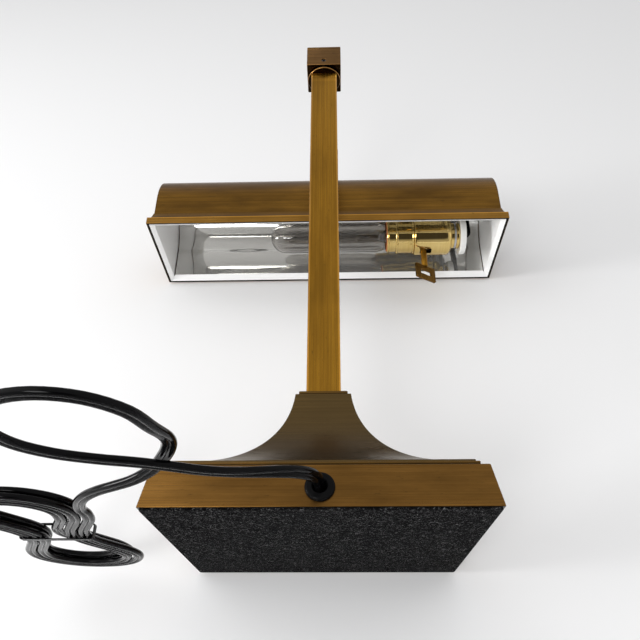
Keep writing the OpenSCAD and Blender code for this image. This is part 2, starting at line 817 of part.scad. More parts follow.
module shade_trough() {
    color(brass) difference() {
        along_x(-trough_x, trough_x) arch(shade_r, wall_foot);
        along_x(-trough_x - over, trough_x + over) arch(inner_r, wall_foot - over);
        rivet_holes();
    }
}

module shade_end(s) {
    x0 = s > 0 ? trough_x : -end_x;
    color(brass) along_x(x0, x0 + shade_wall) arch(shade_r, wall_foot);
}

module shade_end_left() {
    shade_end(1);
}

module shade_end_right() {
    shade_end(-1);
}

// Outline of the rim: a flat band with a hollow curve that runs up into the wall
module rim_profile(half) {
    ease = rim_edge / 2;
    cove_out = rim_proud - ease;
    steps = 8;
    side = [
        [half + rim_proud, 0],
        [half + rim_proud, rim_band - ease],
        for (i = [0:steps]) let (a = cove_turn * i / steps)
            [half + cove_out * (1 - sin(a)), rim_band + rim_cove * (1 - cos(a))]
    ];
    polygon(concat(side, [for (i = [len(side) - 1:-1:0]) [-side[i][0], side[i][1]]]));
}

// Outline of the room inside the rim's slope
module slope_profile(half) {
    low = half + slope_out * (1 + over / slope_h);
    top = slope_h * (1 + over / slope_out);
    polygon([[-low, -over], [low, -over], [half - over, top], [over - half, top]]);
}

module shade_rim() {
    color(dark_brass) translate([0, -reach, rim_z]) difference() {
        two_way(2 * rim_length) {
            rim_profile(end_x);
            rim_profile(shade_r);
        }
        two_way(2 * rim_length) {
            slope_profile(end_x);
            slope_profile(shade_r);
        }
        translate([-end_x, -shade_r, -over]) cube([2 * end_x, 2 * shade_r, rim_h + 2 * over]);
    }
}

// Height of the upper face of the reflector's lips, at a distance out from the shade's wall
function lip_z(out) = rim_z + slope_h * (slope_out - out) / slope_out - lip_drop;

// Section of the reflector in Y and Z down to low, filled, with its lips lowered by drop
module reflector_shape(r, drop, out, low) {
    foot = lip_z(r - shade_r) - drop;
    tip = lip_z(out) - drop;
    half = shade_r + out;
    arch(r, foot);
    polygon([
        [-r, foot + over], [-r, foot], [-half, tip], [-half, low],
        [half, low], [half, tip], [r, foot], [r, foot + over]
    ]);
}

// Upright block over a flat outline, for cutting the lips' mitred corners
module mitre_block(points) {
    translate([0, -reach, rim_z - 2]) linear_extrude(shade_h + over) polygon(points);
}

module reflector() {
    far = lip_out + over;
    x_far = end_x + far - mitre_gap;
    y_far = shade_r + far;
    y_near = shade_r + mirror_x + mitre_gap - end_x;
    color(silver) difference() {
        along_x(-x_far, x_far) reflector_shape(mirror_r, 0, lip_out, rim_z - 1);
        along_x(-x_far - over, x_far + over)
            reflector_shape(mirror_in_r, lip_t, far, rim_z - 2);
        lead_hole(mirror_r);
        for (s = [-1, 1]) mitre_block([
            [s * mirror_x, -y_near], [s * mirror_x, y_near], [s * x_far, y_far],
            [s * rim_length, y_far], [s * rim_length, -y_far], [s * x_far, -y_far]
        ]);
    }
}

// Hole over the socket's lead, up to the given radius
module lead_hole(r) {
    translate([-disc_x - disc_thick - lead_bend, -reach, arc_z]) cylinder(r = lead_r + slip, h = r + over);
}

// Flat end plate of the reflector with its own lip
module reflector_end(s) {
    inside = mirror_end_x - reflector_t;
    near = inside - end_x;
    next = mirror_end_x - end_x;
    a = near - over;
    b = lip_out + over;
    room = shade_r - mitre_gap;
    color(silver) mirror([s > 0 ? 0 : 1, 0, 0]) difference() {
        union() {
            along_x(inside, mirror_end_x) arch(inner_r - slip, lip_z(near) - lip_t);
            translate([0, -reach, 0]) rotate([90, 0, 0]) linear_extrude(rim_w, center = true) polygon([
                [inside, lip_z(near) - lip_t], [end_x + lip_out, lip_z(lip_out) - lip_t],
                [end_x + lip_out, lip_z(lip_out)], [mirror_end_x, lip_z(next)]
            ]);
        }
        for (y = [-1, 1]) mitre_block([
            [end_x + a, y * (room + a)], [end_x + b, y * (room + b)],
            [end_x + b, y * rim_w], [end_x + a, y * rim_w]
        ]);
    }
}

module reflector_end_left() {
    reflector_end(1);
}

module reflector_end_right() {
    reflector_end(-1);
}

// Strap that hangs the socket from the top of the reflector
module socket_strap() {
    foot_l = 16;
    boss_r = neck_r - 0.5;
    seat_r = mirror_in_r - 0.05;
    color(silver) difference() {
        union() {
            intersection() {
                translate([-strap_x - strap_t, -reach - strap_w / 2, bulb_axis[2]])
                    cube([strap_t, strap_w, shade_h]);
                shade_round(seat_r, rim_length);
            }
            on_axis(strap_x) cylinder(r = boss_r, h = strap_t);
            intersection() {
                translate([-strap_x - strap_t, -reach - strap_w / 2, arc_z]) cube([foot_l, strap_w, shade_h]);
                difference() {
                    shade_round(seat_r, rim_length);
                    shade_round(seat_r - strap_t, 2 * rim_length);
                }
            }
        }
        on_axis(strap_x - over) cylinder(r = nipple_r + 0.1, h = strap_t + 2 * over);
    }
}

module socket_nipple() {
    color(bright_brass) on_axis(neck_x - 3) difference() {
        cylinder(r = nipple_r, h = disc_x + disc_thick - neck_x + 3);
        translate([0, 0, -over]) cylinder(r = lead_r + cord_room, h = rim_length);
    }
}

module neck_ring(x0, x1) {
    on_axis(x0) difference() {
        cylinder(r = neck_r, h = x1 - x0);
        translate([0, 0, -over]) cylinder(r = nipple_r + 0.1, h = x1 - x0 + 2 * over);
    }
}

module neck_collar() {
    color(bright_brass) neck_ring(neck_x, strap_x);
}

module neck_nut() {
    color(bright_brass) neck_ring(strap_x + strap_t, neck_x + neck_l);
}

module insulating_disc() {
    color("white") on_axis(disc_x) difference() {
        cylinder(r = disc_r, h = disc_thick);
        translate([0, 0, -over]) cylinder(r = nipple_r + 0.1, h = disc_thick + 2 * over);
    }
}

// Black lead that comes out of the nipple and turns up through the reflector
module socket_lead() {
    bend_x = disc_x + disc_thick;
    top = arc_z + inner_r - 2 * slip - bulb_axis[2];
    color(black) translate([-bend_x, -reach, bulb_axis[2]]) {
        rotate([0, 90, 0]) cylinder(r = lead_r, h = bend_x - neck_x);
        translate([0, 0, lead_bend]) rotate([90, 180, 0])
            rotate_extrude(angle = 90) translate([lead_bend, 0]) circle(lead_r, $fn = 48);
        translate([-lead_bend, 0, lead_bend]) cylinder(r = lead_r, h = top - lead_bend);
    }
}

// Sheet cap at the back of the socket, with the slot that the key stands in
module socket_cap() {
    back = 5;
    t = socket_wall;
    color(bright_brass) difference() {
        on_axis(cap_x) difference() {
            rotate_extrude() cap_profile(cap_r, cap_l, back);
            translate([0, 0, t]) rotate_extrude() cap_profile(cap_r - t, cap_l - 2 * t, back - t);
            cylinder(r = nipple_r, h = 2 * cap_l);
            translate([0, 0, -over]) cylinder(r = shell_r + run_clear, h = cap_l / 2);
        }
        translate([key_at[0] - slot_ends[1], -reach - slot_ends[0], bulb_axis[2] - cap_r - over])
            cube([slot_ends[0] + slot_ends[1], 2 * slot_ends[0], cap_r]);
    }
}

// Half section of the cap: straight, then rounded over at its back
module cap_profile(r, l, back) {
    square([r, l - back]);
    square([r - back, l]);
    translate([r - back, l - back]) intersection() {
        circle(back, $fn = 48);
        square(back);
    }
}

// Sheet shell with a bead round its mouth and another where it enters the cap
module socket_shell() {
    bead = 0.9;
    color(bright_brass) on_axis(mouth_x) difference() {
        union() {
            cylinder(r = mouth_r, h = mouth_l);
            translate([0, 0, mouth_l]) cylinder(r = shell_r, h = shell_l + shell_tuck);
            for (b = [[bead, mouth_r - 0.4], [mouth_l, shell_r - 0.4], [mouth_l + shell_l - bead, shell_r]])
                translate([0, 0, b[0]]) rotate_extrude() translate([b[1], 0]) circle(bead, $fn = 32);
        }
        translate([0, 0, -over]) cylinder(r = mouth_r - socket_wall, h = mouth_l + shell_l + cap_l);
        translate([0, 0, -2 * over]) cylinder(r = 2 * cap_r, h = 2 * over);
    }
}

module socket_liner() {
    r = mouth_r - socket_wall - 0.1;
    color([0.72, 0.28, 0.1]) on_axis(mouth_x - liner_out) difference() {
        cylinder(r = r, h = core_x - mouth_x + liner_out);
        translate([0, 0, -over]) cylinder(r = r - liner_t, h = rim_length);
    }
}

// Insulating body of the socket, with the bearing of the key's spindle
module socket_core() {
    color([0.12, 0.1, 0.09]) difference() {
        on_axis(core_x) difference() {
            cylinder(r = core_r, h = neck_x - 3 - core_x);
            translate([0, 0, neck_x - 12 - core_x]) cylinder(r = lead_r + 3, h = 12);
        }
        translate([key_at[0], key_at[1], bulb_axis[2] - core_r - over])
            cylinder(r = spindle_r + run_clear, h = spindle_l + over + slip);
    }
}

module screw_shell() {
    color(bright_brass) on_axis(mouth_x + 3) difference() {
        cylinder(r = screw_r + screw_t, h = core_x - mouth_x - 3);
        translate([0, 0, -over]) cylinder(r = screw_r, h = rim_length);
    }
}

// Half section of the bulb from its tip: a round dome, a tube, and a shoulder down to the neck
module bulb_profile(r, neck) {
    tube_end = bulb_l - bulb_shoulder;
    foot = bulb_l + bulb_tuck;
    intersection() {
        translate([0, bulb_r]) circle(r);
        square([r, bulb_r]);
    }
    translate([0, bulb_r]) square([r, tube_end - bulb_r]);
    polygon([[0, tube_end], [r, tube_end], [neck, foot], [0, foot]]);
}

module bulb_glass() {
    neck = base_r - 0.5;
    color([0.85, 0.9, 0.95, 0.4]) on_axis(mouth_x - bulb_l) rotate_extrude() difference() {
        bulb_profile(bulb_r, neck);
        bulb_profile(bulb_r - glass_t, neck - glass_t);
    }
}

module bulb_base() {
    tip_cone = 4;
    contact_r = 4;
    color("silver") on_axis(mouth_x + bulb_tuck) {
        cylinder(r = base_r, h = base_l - tip_cone);
        translate([0, 0, base_l - tip_cone]) cylinder(r1 = base_r - 1, r2 = contact_r + 1, h = tip_cone);
        translate([0, 0, base_l]) cylinder(r = contact_r, h = 2);
    }
}

// Glass mount inside the bulb, with the rod that carries the filament's spider
module bulb_stem() {
    foot_l = 12;
    mount_r = 3.5;
    mount_l = 20;
    rod_l = bulb_l - filament_gap - foot_l - mount_l + rod_past;
    color([0.85, 0.9, 0.95, 0.5]) on_axis(mouth_x + bulb_tuck) mirror([0, 0, 1]) {
        cylinder(r1 = 8, r2 = mount_r, h = foot_l);
        translate([0, 0, foot_l]) cylinder(r = mount_r, h = mount_l);
        translate([0, 0, foot_l + mount_l]) cylinder(r = rod_r, h = rod_l);
    }
}

// Filament strung between two wheels of support wires on the glass rod
module bulb_filament() {
    from = 32;
    to = bulb_l - filament_gap;
    ring_r = 6;
    wire_r = 0.35;
    wheel_t = 0.6;
    hole_r = 1.8;
    turns = [0:90:270];
    wheels = [from, to - wheel_t];
    color([0.3, 0.3, 0.32]) on_axis(mouth_x) mirror([0, 0, 1]) difference() {
        union() {
            for (a = turns)
                rotate(a) translate([ring_r, 0, from]) cylinder(r = wire_r, h = to - from, $fn = 24);
            for (z = wheels) translate([0, 0, z]) cylinder(r = ring_r, h = wheel_t, $fn = 48);
        }
        for (z = wheels) for (a = turns)
            rotate(45 + a) translate([ring_r * 0.75, 0, z - over])
                cylinder(r = hole_r, h = 2 * over + wheel_t, $fn = 24);
        translate([0, 0, from - over]) cylinder(r = rod_r + run_clear, h = to, $fn = 24);
    }
}

// Flat outline of the key's bow with its window
module bow_outline() {
    difference() {
        translate([-bow_w / 2, 0]) square([bow_w, bow_h]);
        translate([bow_bar - bow_w / 2, bow_bar]) square([bow_w - 2 * bow_bar, bow_h - 2 * bow_bar]);
    }
}

// Turn key with a windowed bow
module switch_key() {
    stem_z = bulb_axis[2] - cap_r - stem_l;
    color(dark_brass) translate([key_at[0], key_at[1], stem_z]) {
        cylinder(r = stem_r, h = bulb_axis[2] - core_r - slip - stem_z);
        cylinder(r = spindle_r, h = bulb_axis[2] - core_r + spindle_l - stem_z);
        rotate(bow_turn) translate([0, bow_t / 2, over - bow_h]) rotate([90, 0, 0])
            linear_extrude(bow_t) bow_outline();
    }
}

felt_pad();
base_plate();
base_weight();
base_shell();
cord_grommet();
plinth_plate();
flare();
collar_plate();
post();
post_rod();
rod_nut_foot();
rod_nut_head();
post_lead();
swivel_disc();
cord_lead();
cord_hank();
cord_tie();
plug_body();
plug_blades();
swivel_block();
block_cap();
block_set_screw();
boom_tube();
boom_lead();
boom_knuckle();
pivot_pin();
shade_bracket();
bracket_rivets();
shade_trough();
shade_end_left();
shade_end_right();
shade_rim();
reflector();
reflector_end_left();
reflector_end_right();
socket_strap();
socket_nipple();
neck_collar();
neck_nut();
insulating_disc();
socket_lead();
socket_cap();
socket_shell();
socket_liner();
socket_core();
screw_shell();
bulb_glass();
bulb_base();
bulb_stem();
bulb_filament();
switch_key();
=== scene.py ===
# Brass desk lamp with a trough shade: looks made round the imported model, in its own frame.
# Shapes are worked out in millimetres and put into the meshes in metres.
import math
from types import SimpleNamespace

import bmesh
import bpy
import numpy as np
from mathutils import Matrix, Vector


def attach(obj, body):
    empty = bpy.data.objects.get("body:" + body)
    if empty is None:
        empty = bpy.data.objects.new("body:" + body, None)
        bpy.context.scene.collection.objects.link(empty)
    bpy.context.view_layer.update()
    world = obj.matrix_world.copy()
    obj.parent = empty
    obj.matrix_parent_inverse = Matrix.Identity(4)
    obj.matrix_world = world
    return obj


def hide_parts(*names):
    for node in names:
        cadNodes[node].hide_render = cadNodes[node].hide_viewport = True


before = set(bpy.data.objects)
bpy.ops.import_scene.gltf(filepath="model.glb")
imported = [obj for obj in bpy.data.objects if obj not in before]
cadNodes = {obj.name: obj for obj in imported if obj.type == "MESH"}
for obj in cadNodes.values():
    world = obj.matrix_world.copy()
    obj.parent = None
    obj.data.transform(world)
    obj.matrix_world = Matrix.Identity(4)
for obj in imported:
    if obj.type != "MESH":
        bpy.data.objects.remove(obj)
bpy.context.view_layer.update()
mm = 0.001
print("frame loaded, nodes:", len(cadNodes))


def newObject(name, data):
    made = bpy.data.objects.new(name, data)
    bpy.context.scene.collection.objects.link(made)
    return made


# Camera: behind and below the lamp, as it lies in front of the photographer
cameraSpec = {
    "place": (-9.81, 405.7, -85.55),
    "yaw": 1.79,  # degrees, from -Y towards +X
    "pitch": 31.01,
    "roll": 0.26,
    "focal": 655.0,  # pixels of the 640 wide frame
    "frameSize": 640.0,
    "sensor": 36.0,
}


def makeCamera(spec):
    # looks along yaw and pitch, then rolls about that line
    yaw, pitch, roll = (math.radians(spec[k]) for k in ("yaw", "pitch", "roll"))
    forward = Vector((math.sin(yaw) * math.cos(pitch), -math.cos(yaw) * math.cos(pitch), math.sin(pitch)))
    level = forward.cross(Vector((0, 0, 1))).normalized()
    upright = level.cross(forward)
    right = level * math.cos(roll) + upright * math.sin(roll)
    up = upright * math.cos(roll) - level * math.sin(roll)
    data = bpy.data.cameras.new("lampCamera")
    data.sensor_width = spec["sensor"]
    data.lens = spec["sensor"] * spec["focal"] / spec["frameSize"]
    data.clip_start, data.clip_end = 0.01, 50.0
    camera = newObject("lampCamera", data)
    turn = Matrix((right, up, -forward)).transposed().to_4x4()
    camera.matrix_world = Matrix.Translation(Vector(spec["place"]) * mm) @ turn
    bpy.context.scene.camera = camera


makeCamera(cameraSpec)
print("camera placed")

# Mesh helpers
alongY = ((1, 0, 0), (0, 0, -1), (0, 1, 0))  # local z lies along -Y, local y stands up
outY = ((1, 0, 0), (0, 0, 1), (0, 1, 0))  # local z lies along +Y, local y stands up


def arcOf(middle, radius, first, last, count):
    # arc of a circle between two angles in degrees
    a = np.radians(np.linspace(first, last, count))
    return np.asarray(middle, float) + radius * np.column_stack([np.cos(a), np.sin(a)])


def circleOf(radius, count):
    return arcOf((0, 0), radius, 0, 360, count + 1)[:-1]


def ringOf(halfX, halfY, corner, steps):
    # rounded rectangle: four quarter circles of radius corner, joined by straight sides
    turn = np.radians(np.linspace(0, 90, steps + 1))[None, :] + np.arange(4)[:, None] * math.pi / 2
    sideX = np.array([1, -1, -1, 1])[:, None]
    sideY = np.array([1, 1, -1, -1])[:, None]
    x = sideX * (halfX - corner) + corner * np.cos(turn)
    y = sideY * (halfY - corner) + corner * np.sin(turn)
    return np.stack([x, y], -1).reshape(-1, 2)


def stackOf(rows, steps):
    # rings of (height, half x, half y, corner radius) laid over each other along z
    count = 4 * (steps + 1)
    return np.array([np.column_stack([ringOf(*sizes, steps), np.full(count, z)]) for z, *sizes in rows])


def tubeOf(low, high, outer, inner, steps):
    # a straight wall between two heights, outer and inner as half x, half y and corner radius
    return stackOf([(low, *outer), (high, *outer), (high, *inner), (low, *inner)], steps)


def prismOf(outline, low, high):
    # a flat outline in (y, z) carried straight along x
    outline = np.asarray(outline, float)
    return np.array([np.column_stack([np.full(len(outline), x), outline]) for x in (low, high)])


def latheOf(profile, centre, along, count=72):
    # (distance along, radius) pairs turned once round an axis through centre
    profile = np.asarray(profile, float)
    along = np.asarray(along, float) / np.linalg.norm(along)
    first = np.cross(along, (0.0, 0.0, 1.0) if abs(along[2]) < 0.9 else (1.0, 0.0, 0.0))
    first /= np.linalg.norm(first)
    second = np.cross(along, first)
    a = np.linspace(0, 2 * math.pi, count, endpoint=False)
    around = np.cos(a)[:, None] * first + np.sin(a)[:, None] * second
    return np.asarray(centre, float) + profile[:, :1, None] * along + profile[:, 1, None, None] * around[None]


def curveThrough(points, parts):
    # Catmull-Rom curve: each stretch is the cubic set by its two ends and their neighbours
    p = np.asarray(points, float)
    q = np.vstack([2 * p[0] - p[1], p, 2 * p[-1] - p[-2]])
    t = (np.arange(parts) / parts)[None, :, None]
    a, b, c, d = q[:-3, None], q[1:-2, None], q[2:-1, None], q[3:, None]
    bend = 0.5 * (2 * b + (c - a) * t + (2 * a - 5 * b + 4 * c - d) * t**2 + (3 * b - a - 3 * c + d) * t**3)
    return np.vstack([bend.reshape(-1, 3), p[-1:]])


def sweepOf(section, path, side=None, twist=None):
    # a closed section carried along a path, its first axis level or kept along side,
    # then turned by twist about the path
    path = np.asarray(path, float)
    heading = np.gradient(path, axis=0)
    heading /= np.linalg.norm(heading, axis=1)[:, None]
    level = np.cross(heading, (0.0, 0.0, 1.0))
    across = level if side is None else np.tile(np.asarray(side, float), (len(path), 1))
    across -= heading * (across * heading).sum(1)[:, None]
    across /= np.linalg.norm(across, axis=1)[:, None]
    over = np.cross(across, heading)
    if twist is not None:
        c, n = np.cos(twist)[:, None], np.sin(twist)[:, None]
        across, over = across * c + over * n, over * c - across * n
    section = np.asarray(section, float)
    return path[:, None] + section[None, :, :1] * across[:, None] + section[None, :, 1:] * over[:, None]


def smoothStep(t):
    # eases from 0 to 1 with level ends
    return t * t * (3 - 2 * t)


def placed(grid, turn=None, at=(0, 0, 0)):
    # turned by a matrix, then moved
    grid = np.asarray(grid, float)
    return (grid if turn is None else grid @ np.asarray(turn, float).T) + np.asarray(at, float)


def solid(grid, loop=False, caps=True, drop=None):
    # loop joins the last ring to the first, caps closes the two ends, drop leaves faces out
    return {"grid": np.asarray(grid, float), "loop": loop, "caps": caps and not loop, "drop": drop}


def rodOf(low, high, radius, centre, along, count):
    # a closed cylinder between two distances along an axis
    profile = [(low, 0), (low, radius), (high, radius), (high, 0)]
    return solid(latheOf(profile, centre, along, count), caps=False)


def meshOf(name, parts):
    # quads between neighbouring rings, with doubles, slivers and loose points removed
    points, faces, start = [], [], 0
    for part in parts:
        rings, count = part["grid"].shape[:2]
        i, j = np.meshgrid(np.arange(rings if part["loop"] else rings - 1), np.arange(count), indexing="ij")
        i2, j2 = (i + 1) % rings, (j + 1) % count
        corners = [i * count + j, i * count + j2, i2 * count + j2, i2 * count + j]
        quads = np.stack(corners, -1).reshape(-1, 4) + start
        faces += (quads if part["drop"] is None else quads[~part["drop"].ravel()]).tolist()
        if part["caps"]:
            faces += [list(range(start + count - 1, start - 1, -1))]
            faces += [list(range(start + (rings - 1) * count, start + rings * count))]
        points.append(part["grid"].reshape(-1, 3))
        start += rings * count
    mesh = bpy.data.meshes.new(name)
    mesh.from_pydata((np.concatenate(points) * mm).tolist(), [], faces)
    work = bmesh.new()
    work.from_mesh(mesh)
    bmesh.ops.remove_doubles(work, verts=work.verts, dist=2e-6)
    bmesh.ops.dissolve_degenerate(work, edges=work.edges, dist=1e-7)
    bmesh.ops.delete(work, geom=[v for v in work.verts if not v.link_faces], context="VERTS")
    bmesh.ops.recalc_face_normals(work, faces=work.faces)
    work.to_mesh(mesh)
    work.free()
    return mesh


def makePiece(name, parts, body, finish, nodes="", sharp=32.0, bevel=0.0, wall=0.0):
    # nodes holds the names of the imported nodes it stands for, with spaces between
    mesh = meshOf(name, parts)
    mesh.shade_smooth()
    mesh.set_sharp_from_angle(angle=math.radians(sharp))
    mesh.materials.append(finishes[finish])
    piece = newObject(name, mesh)
    if wall:
        # sheet: its open edges are sharp before it is thickened
        work = bmesh.new()
        work.from_mesh(mesh)
        for edge in work.edges:
            edge.smooth = edge.smooth and not edge.is_boundary
        work.to_mesh(mesh)
        work.free()
        skin = piece.modifiers.new("wall", "SOLIDIFY")
        skin.thickness, skin.offset = wall * mm, -1.0
    if bevel:
        soft = piece.modifiers.new("edges", "BEVEL")
        soft.width, soft.segments, soft.limit_method = bevel * mm, 2, "ANGLE"
        soft.angle_limit, soft.harden_normals = math.radians(35), True
    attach(piece, body)
    if nodes:
        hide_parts(*nodes.split())
    return piece


def cutBy(piece, cutters):
    # takes other closed shapes out of a piece and keeps the result as its mesh
    for name, part in cutters:
        tool = makePiece(name, [part], "stand", "blockBrass")
        hole = piece.modifiers.new("cut", "BOOLEAN")
        hole.operation, hole.object, hole.solver = "DIFFERENCE", tool, "EXACT"
        piece.modifiers.move(len(piece.modifiers) - 1, 0)
        soft = [m for m in piece.modifiers if m.type == "BEVEL"]
        for m in soft:
            m.show_viewport = False
        bpy.context.view_layer.update()
        made = bpy.data.meshes.new_from_object(piece.evaluated_get(bpy.context.evaluated_depsgraph_get()))
        piece.modifiers.remove(hole)
        for m in soft:
            m.show_viewport = True
        piece.data = made
        bpy.data.objects.remove(tool)
    piece.data.shade_smooth()
    piece.data.set_sharp_from_angle(angle=math.radians(32))


def markFaces(piece, name, test):
    # a face attribute from the faces' middles (millimetres) and normals, one row each
    faces = piece.data.polygons
    middles, normals = np.empty(3 * len(faces)), np.empty(3 * len(faces))
    faces.foreach_get("center", middles)
    faces.foreach_get("normal", normals)
    marks = test(middles.reshape(-1, 3) / mm, normals.reshape(-1, 3)).astype(np.float32)
    piece.data.attributes.new(name, "FLOAT", "FACE").data.foreach_set("value", marks)


# Finishes, kept by name
finishes = {}


def isSocket(value):
    return hasattr(value, "links")


def setInputs(node, values):
    # each input takes a link where its value is a socket, else the value itself
    for label, value in values.items():
        socket = node.inputs[label]
        if isSocket(value):
            socket.id_data.links.new(value, socket)
        else:
            socket.default_value = value


def nodeOf(kind, output, values, **settings):
    # makes a shader node in the tree of the sockets that feed it, and gives one of its outputs
    tree = next(v for v in values.values() if isSocket(v)).id_data
    node = tree.nodes.new("ShaderNode" + kind)
    for key, setting in settings.items():
        setattr(node, key, setting)
    setInputs(node, values)
    return node.outputs[output]


def noiseNode(source, scale, detail, rough, distortion=0.0):
    return nodeOf("TexNoise", "Fac", {
        "Vector": source, "Scale": scale, "Detail": detail, "Roughness": rough, "Distortion": distortion})


def rangeNode(source, low, high, toLow=0.0, toHigh=1.0):
    return nodeOf("MapRange", "Result", {
        "Value": source, "From Min": low, "From Max": high, "To Min": toLow, "To Max": toHigh})


def mathNode(kind, a, b):
    return nodeOf("Math", 0, {0: a, 1: b}, operation=kind)


def times(a, b):
    return mathNode("MULTIPLY", a, b)


def mixNode(share, a, b, blend="MIX"):
    a, b = (v if isSocket(v) else (*v, 1.0) for v in (a, b))
    return nodeOf("Mix", 2, {0: share, 6: a, 7: b}, data_type="RGBA", blend_type=blend)


def mapped(source, scale, shift=(0, 0, 0)):
    return nodeOf("Mapping", "Vector", {"Vector": source, "Scale": scale, "Location": shift})


def bumpNode(height, strength, distance):
    return nodeOf("Bump", "Normal", {"Height": height, "Strength": strength, "Distance": distance})


def axisOf(place, label):
    return nodeOf("SeparateXYZ", label, {"Vector": place})


def bandOf(place, low, high):
    # 1 between two heights, falling to 0 over a tenth of a millimetre at each
    level = axisOf(place, "Z")
    above = rangeNode(level, (low - 0.1) * mm, low * mm)
    return times(above, rangeNode(level, (high + 0.1) * mm, high * mm))


def attributeOf(tree, name):
    node = tree.nodes.new("ShaderNodeAttribute")
    node.attribute_name = name
    return node.outputs["Fac"]


def newFinish(name):
    finishes[name] = bpy.data.materials.new(name)
    finishes[name].use_nodes = True
    tree = finishes[name].node_tree
    return tree, tree.nodes["Principled BSDF"]


def objectPlace(tree):
    return tree.nodes.new("ShaderNodeTexCoord").outputs["Object"]


def brushedGroup():
    # fine brush lines, broader bands of them, cloudy patina and dark specks, each as a mask
    group = bpy.data.node_groups.new("brushedPatina", "ShaderNodeTree")
    for label in ("Lines", "Place"):
        group.interface.new_socket(name=label, in_out="INPUT", socket_type="NodeSocketVector")
    for label in ("Streak", "Cloud", "Speck"):
        group.interface.new_socket(name=label, in_out="OUTPUT", socket_type="NodeSocketFloat")
    source = group.nodes.new("NodeGroupInput").outputs
    fine = noiseNode(source["Lines"], 1.0, 3.0, 0.65)
    broad = noiseNode(source["Lines"], 0.16, 2.0, 0.5)
    cloud = noiseNode(source["Place"], 34.0, 5.0, 0.58, 0.1)
    speck = noiseNode(source["Place"], 420.0, 2.0, 0.6)
    lines = mathNode("ADD", times(fine, 0.62), times(broad, 0.38))
    setInputs(group.nodes.new("NodeGroupOutput"), {
        "Streak": rangeNode(lines, 0.33, 0.67),
        "Cloud": rangeNode(cloud, 0.38, 0.64),
        "Speck": rangeNode(speck, 0.66, 0.76)})
    return group


brushed = brushedGroup()
# the second tone multiplies marked faces into a painted highlight
speckColour, paintedHighlightTone, innerColour = (0.05, 0.03, 0.012), (1.7, 1.7, 1.85), (0.012, 0.009, 0.006)


def brassFinish(name, spec):
    # brush lines between two tones, under a cloudy stain and specks,
    # then marked faces and bands of height are toned, several as painted highlights and painted shade
    tree, shader = newFinish(name)
    place, shift = objectPlace(tree), spec.get("shift", (0, 0, 0))
    group = tree.nodes.new("ShaderNodeGroup")
    group.node_tree = brushed
    clouds = spec.get("clouds", (1, 1, 1))
    setInputs(group, {"Lines": mapped(place, spec["lines"], shift),
                      "Place": mapped(place, clouds, shift)})
    streak, cloud, speck = (group.outputs[k] for k in ("Streak", "Cloud", "Speck"))
    colour = mixNode(streak, spec["dark"], spec["light"])
    colour = mixNode(times(cloud, spec["patina"]), colour, spec["stain"])
    colour = mixNode(times(speck, spec["specks"]), colour, speckColour)
    if "highlitFaces" in spec:
        # faces marked by this attribute get a painted highlight, brighter colour standing in for light caught
        # on them
        colour = mixNode(attributeOf(tree, spec["highlitFaces"]), colour, paintedHighlightTone, "MULTIPLY")
    for low, high, tone in spec.get("tones", ()):
        colour = mixNode(bandOf(place, low, high), colour, (tone, tone, tone), "MULTIPLY")
    if "inner" in spec:
        # faces marked by this attribute are made nearly black: painted shade in the base's closed hollow, and
        # the slope inside the shade's rim, which shows as a dark line round the opening
        colour = mixNode(attributeOf(tree, spec["inner"]), colour, innerColour)
    wear = mathNode("ADD", times(streak, 0.6), times(cloud, 0.4))
    setInputs(shader, {
        "Base Color": colour, "Metallic": 1.0,
        "Roughness": rangeNode(wear, 0.0, 1.0, spec["smooth"], spec["rough"]),
        "Normal": bumpNode(streak, spec["bump"], 0.0002)})


antique = {"dark": (0.121, 0.058, 0.0100), "light": (0.226, 0.114, 0.0205), "stain": (0.074, 0.037, 0.0095),
           "patina": 0.5, "specks": 0.5, "smooth": 0.22, "rough": 0.38, "bump": 0.08}
golden = {**antique, "dark": (0.228, 0.107, 0.0115), "light": (0.39, 0.194, 0.0225),
          "stain": (0.17, 0.080, 0.0107), "patina": 0.4}
darkened = {**antique, "stain": (0.074, 0.049, 0.020)}
blocky = {**antique, "dark": (0.128, 0.064, 0.020), "light": (0.25, 0.129, 0.041)}
levelLines, uprightLines, longLines = (15, 15, 2600), (2600, 2600, 12), (12, 2600, 2600)
levelClouds, uprightClouds, longClouds = (0.5, 0.5, 2.0), (2.0, 2.0, 0.4), (0.32, 1.2, 1.2)
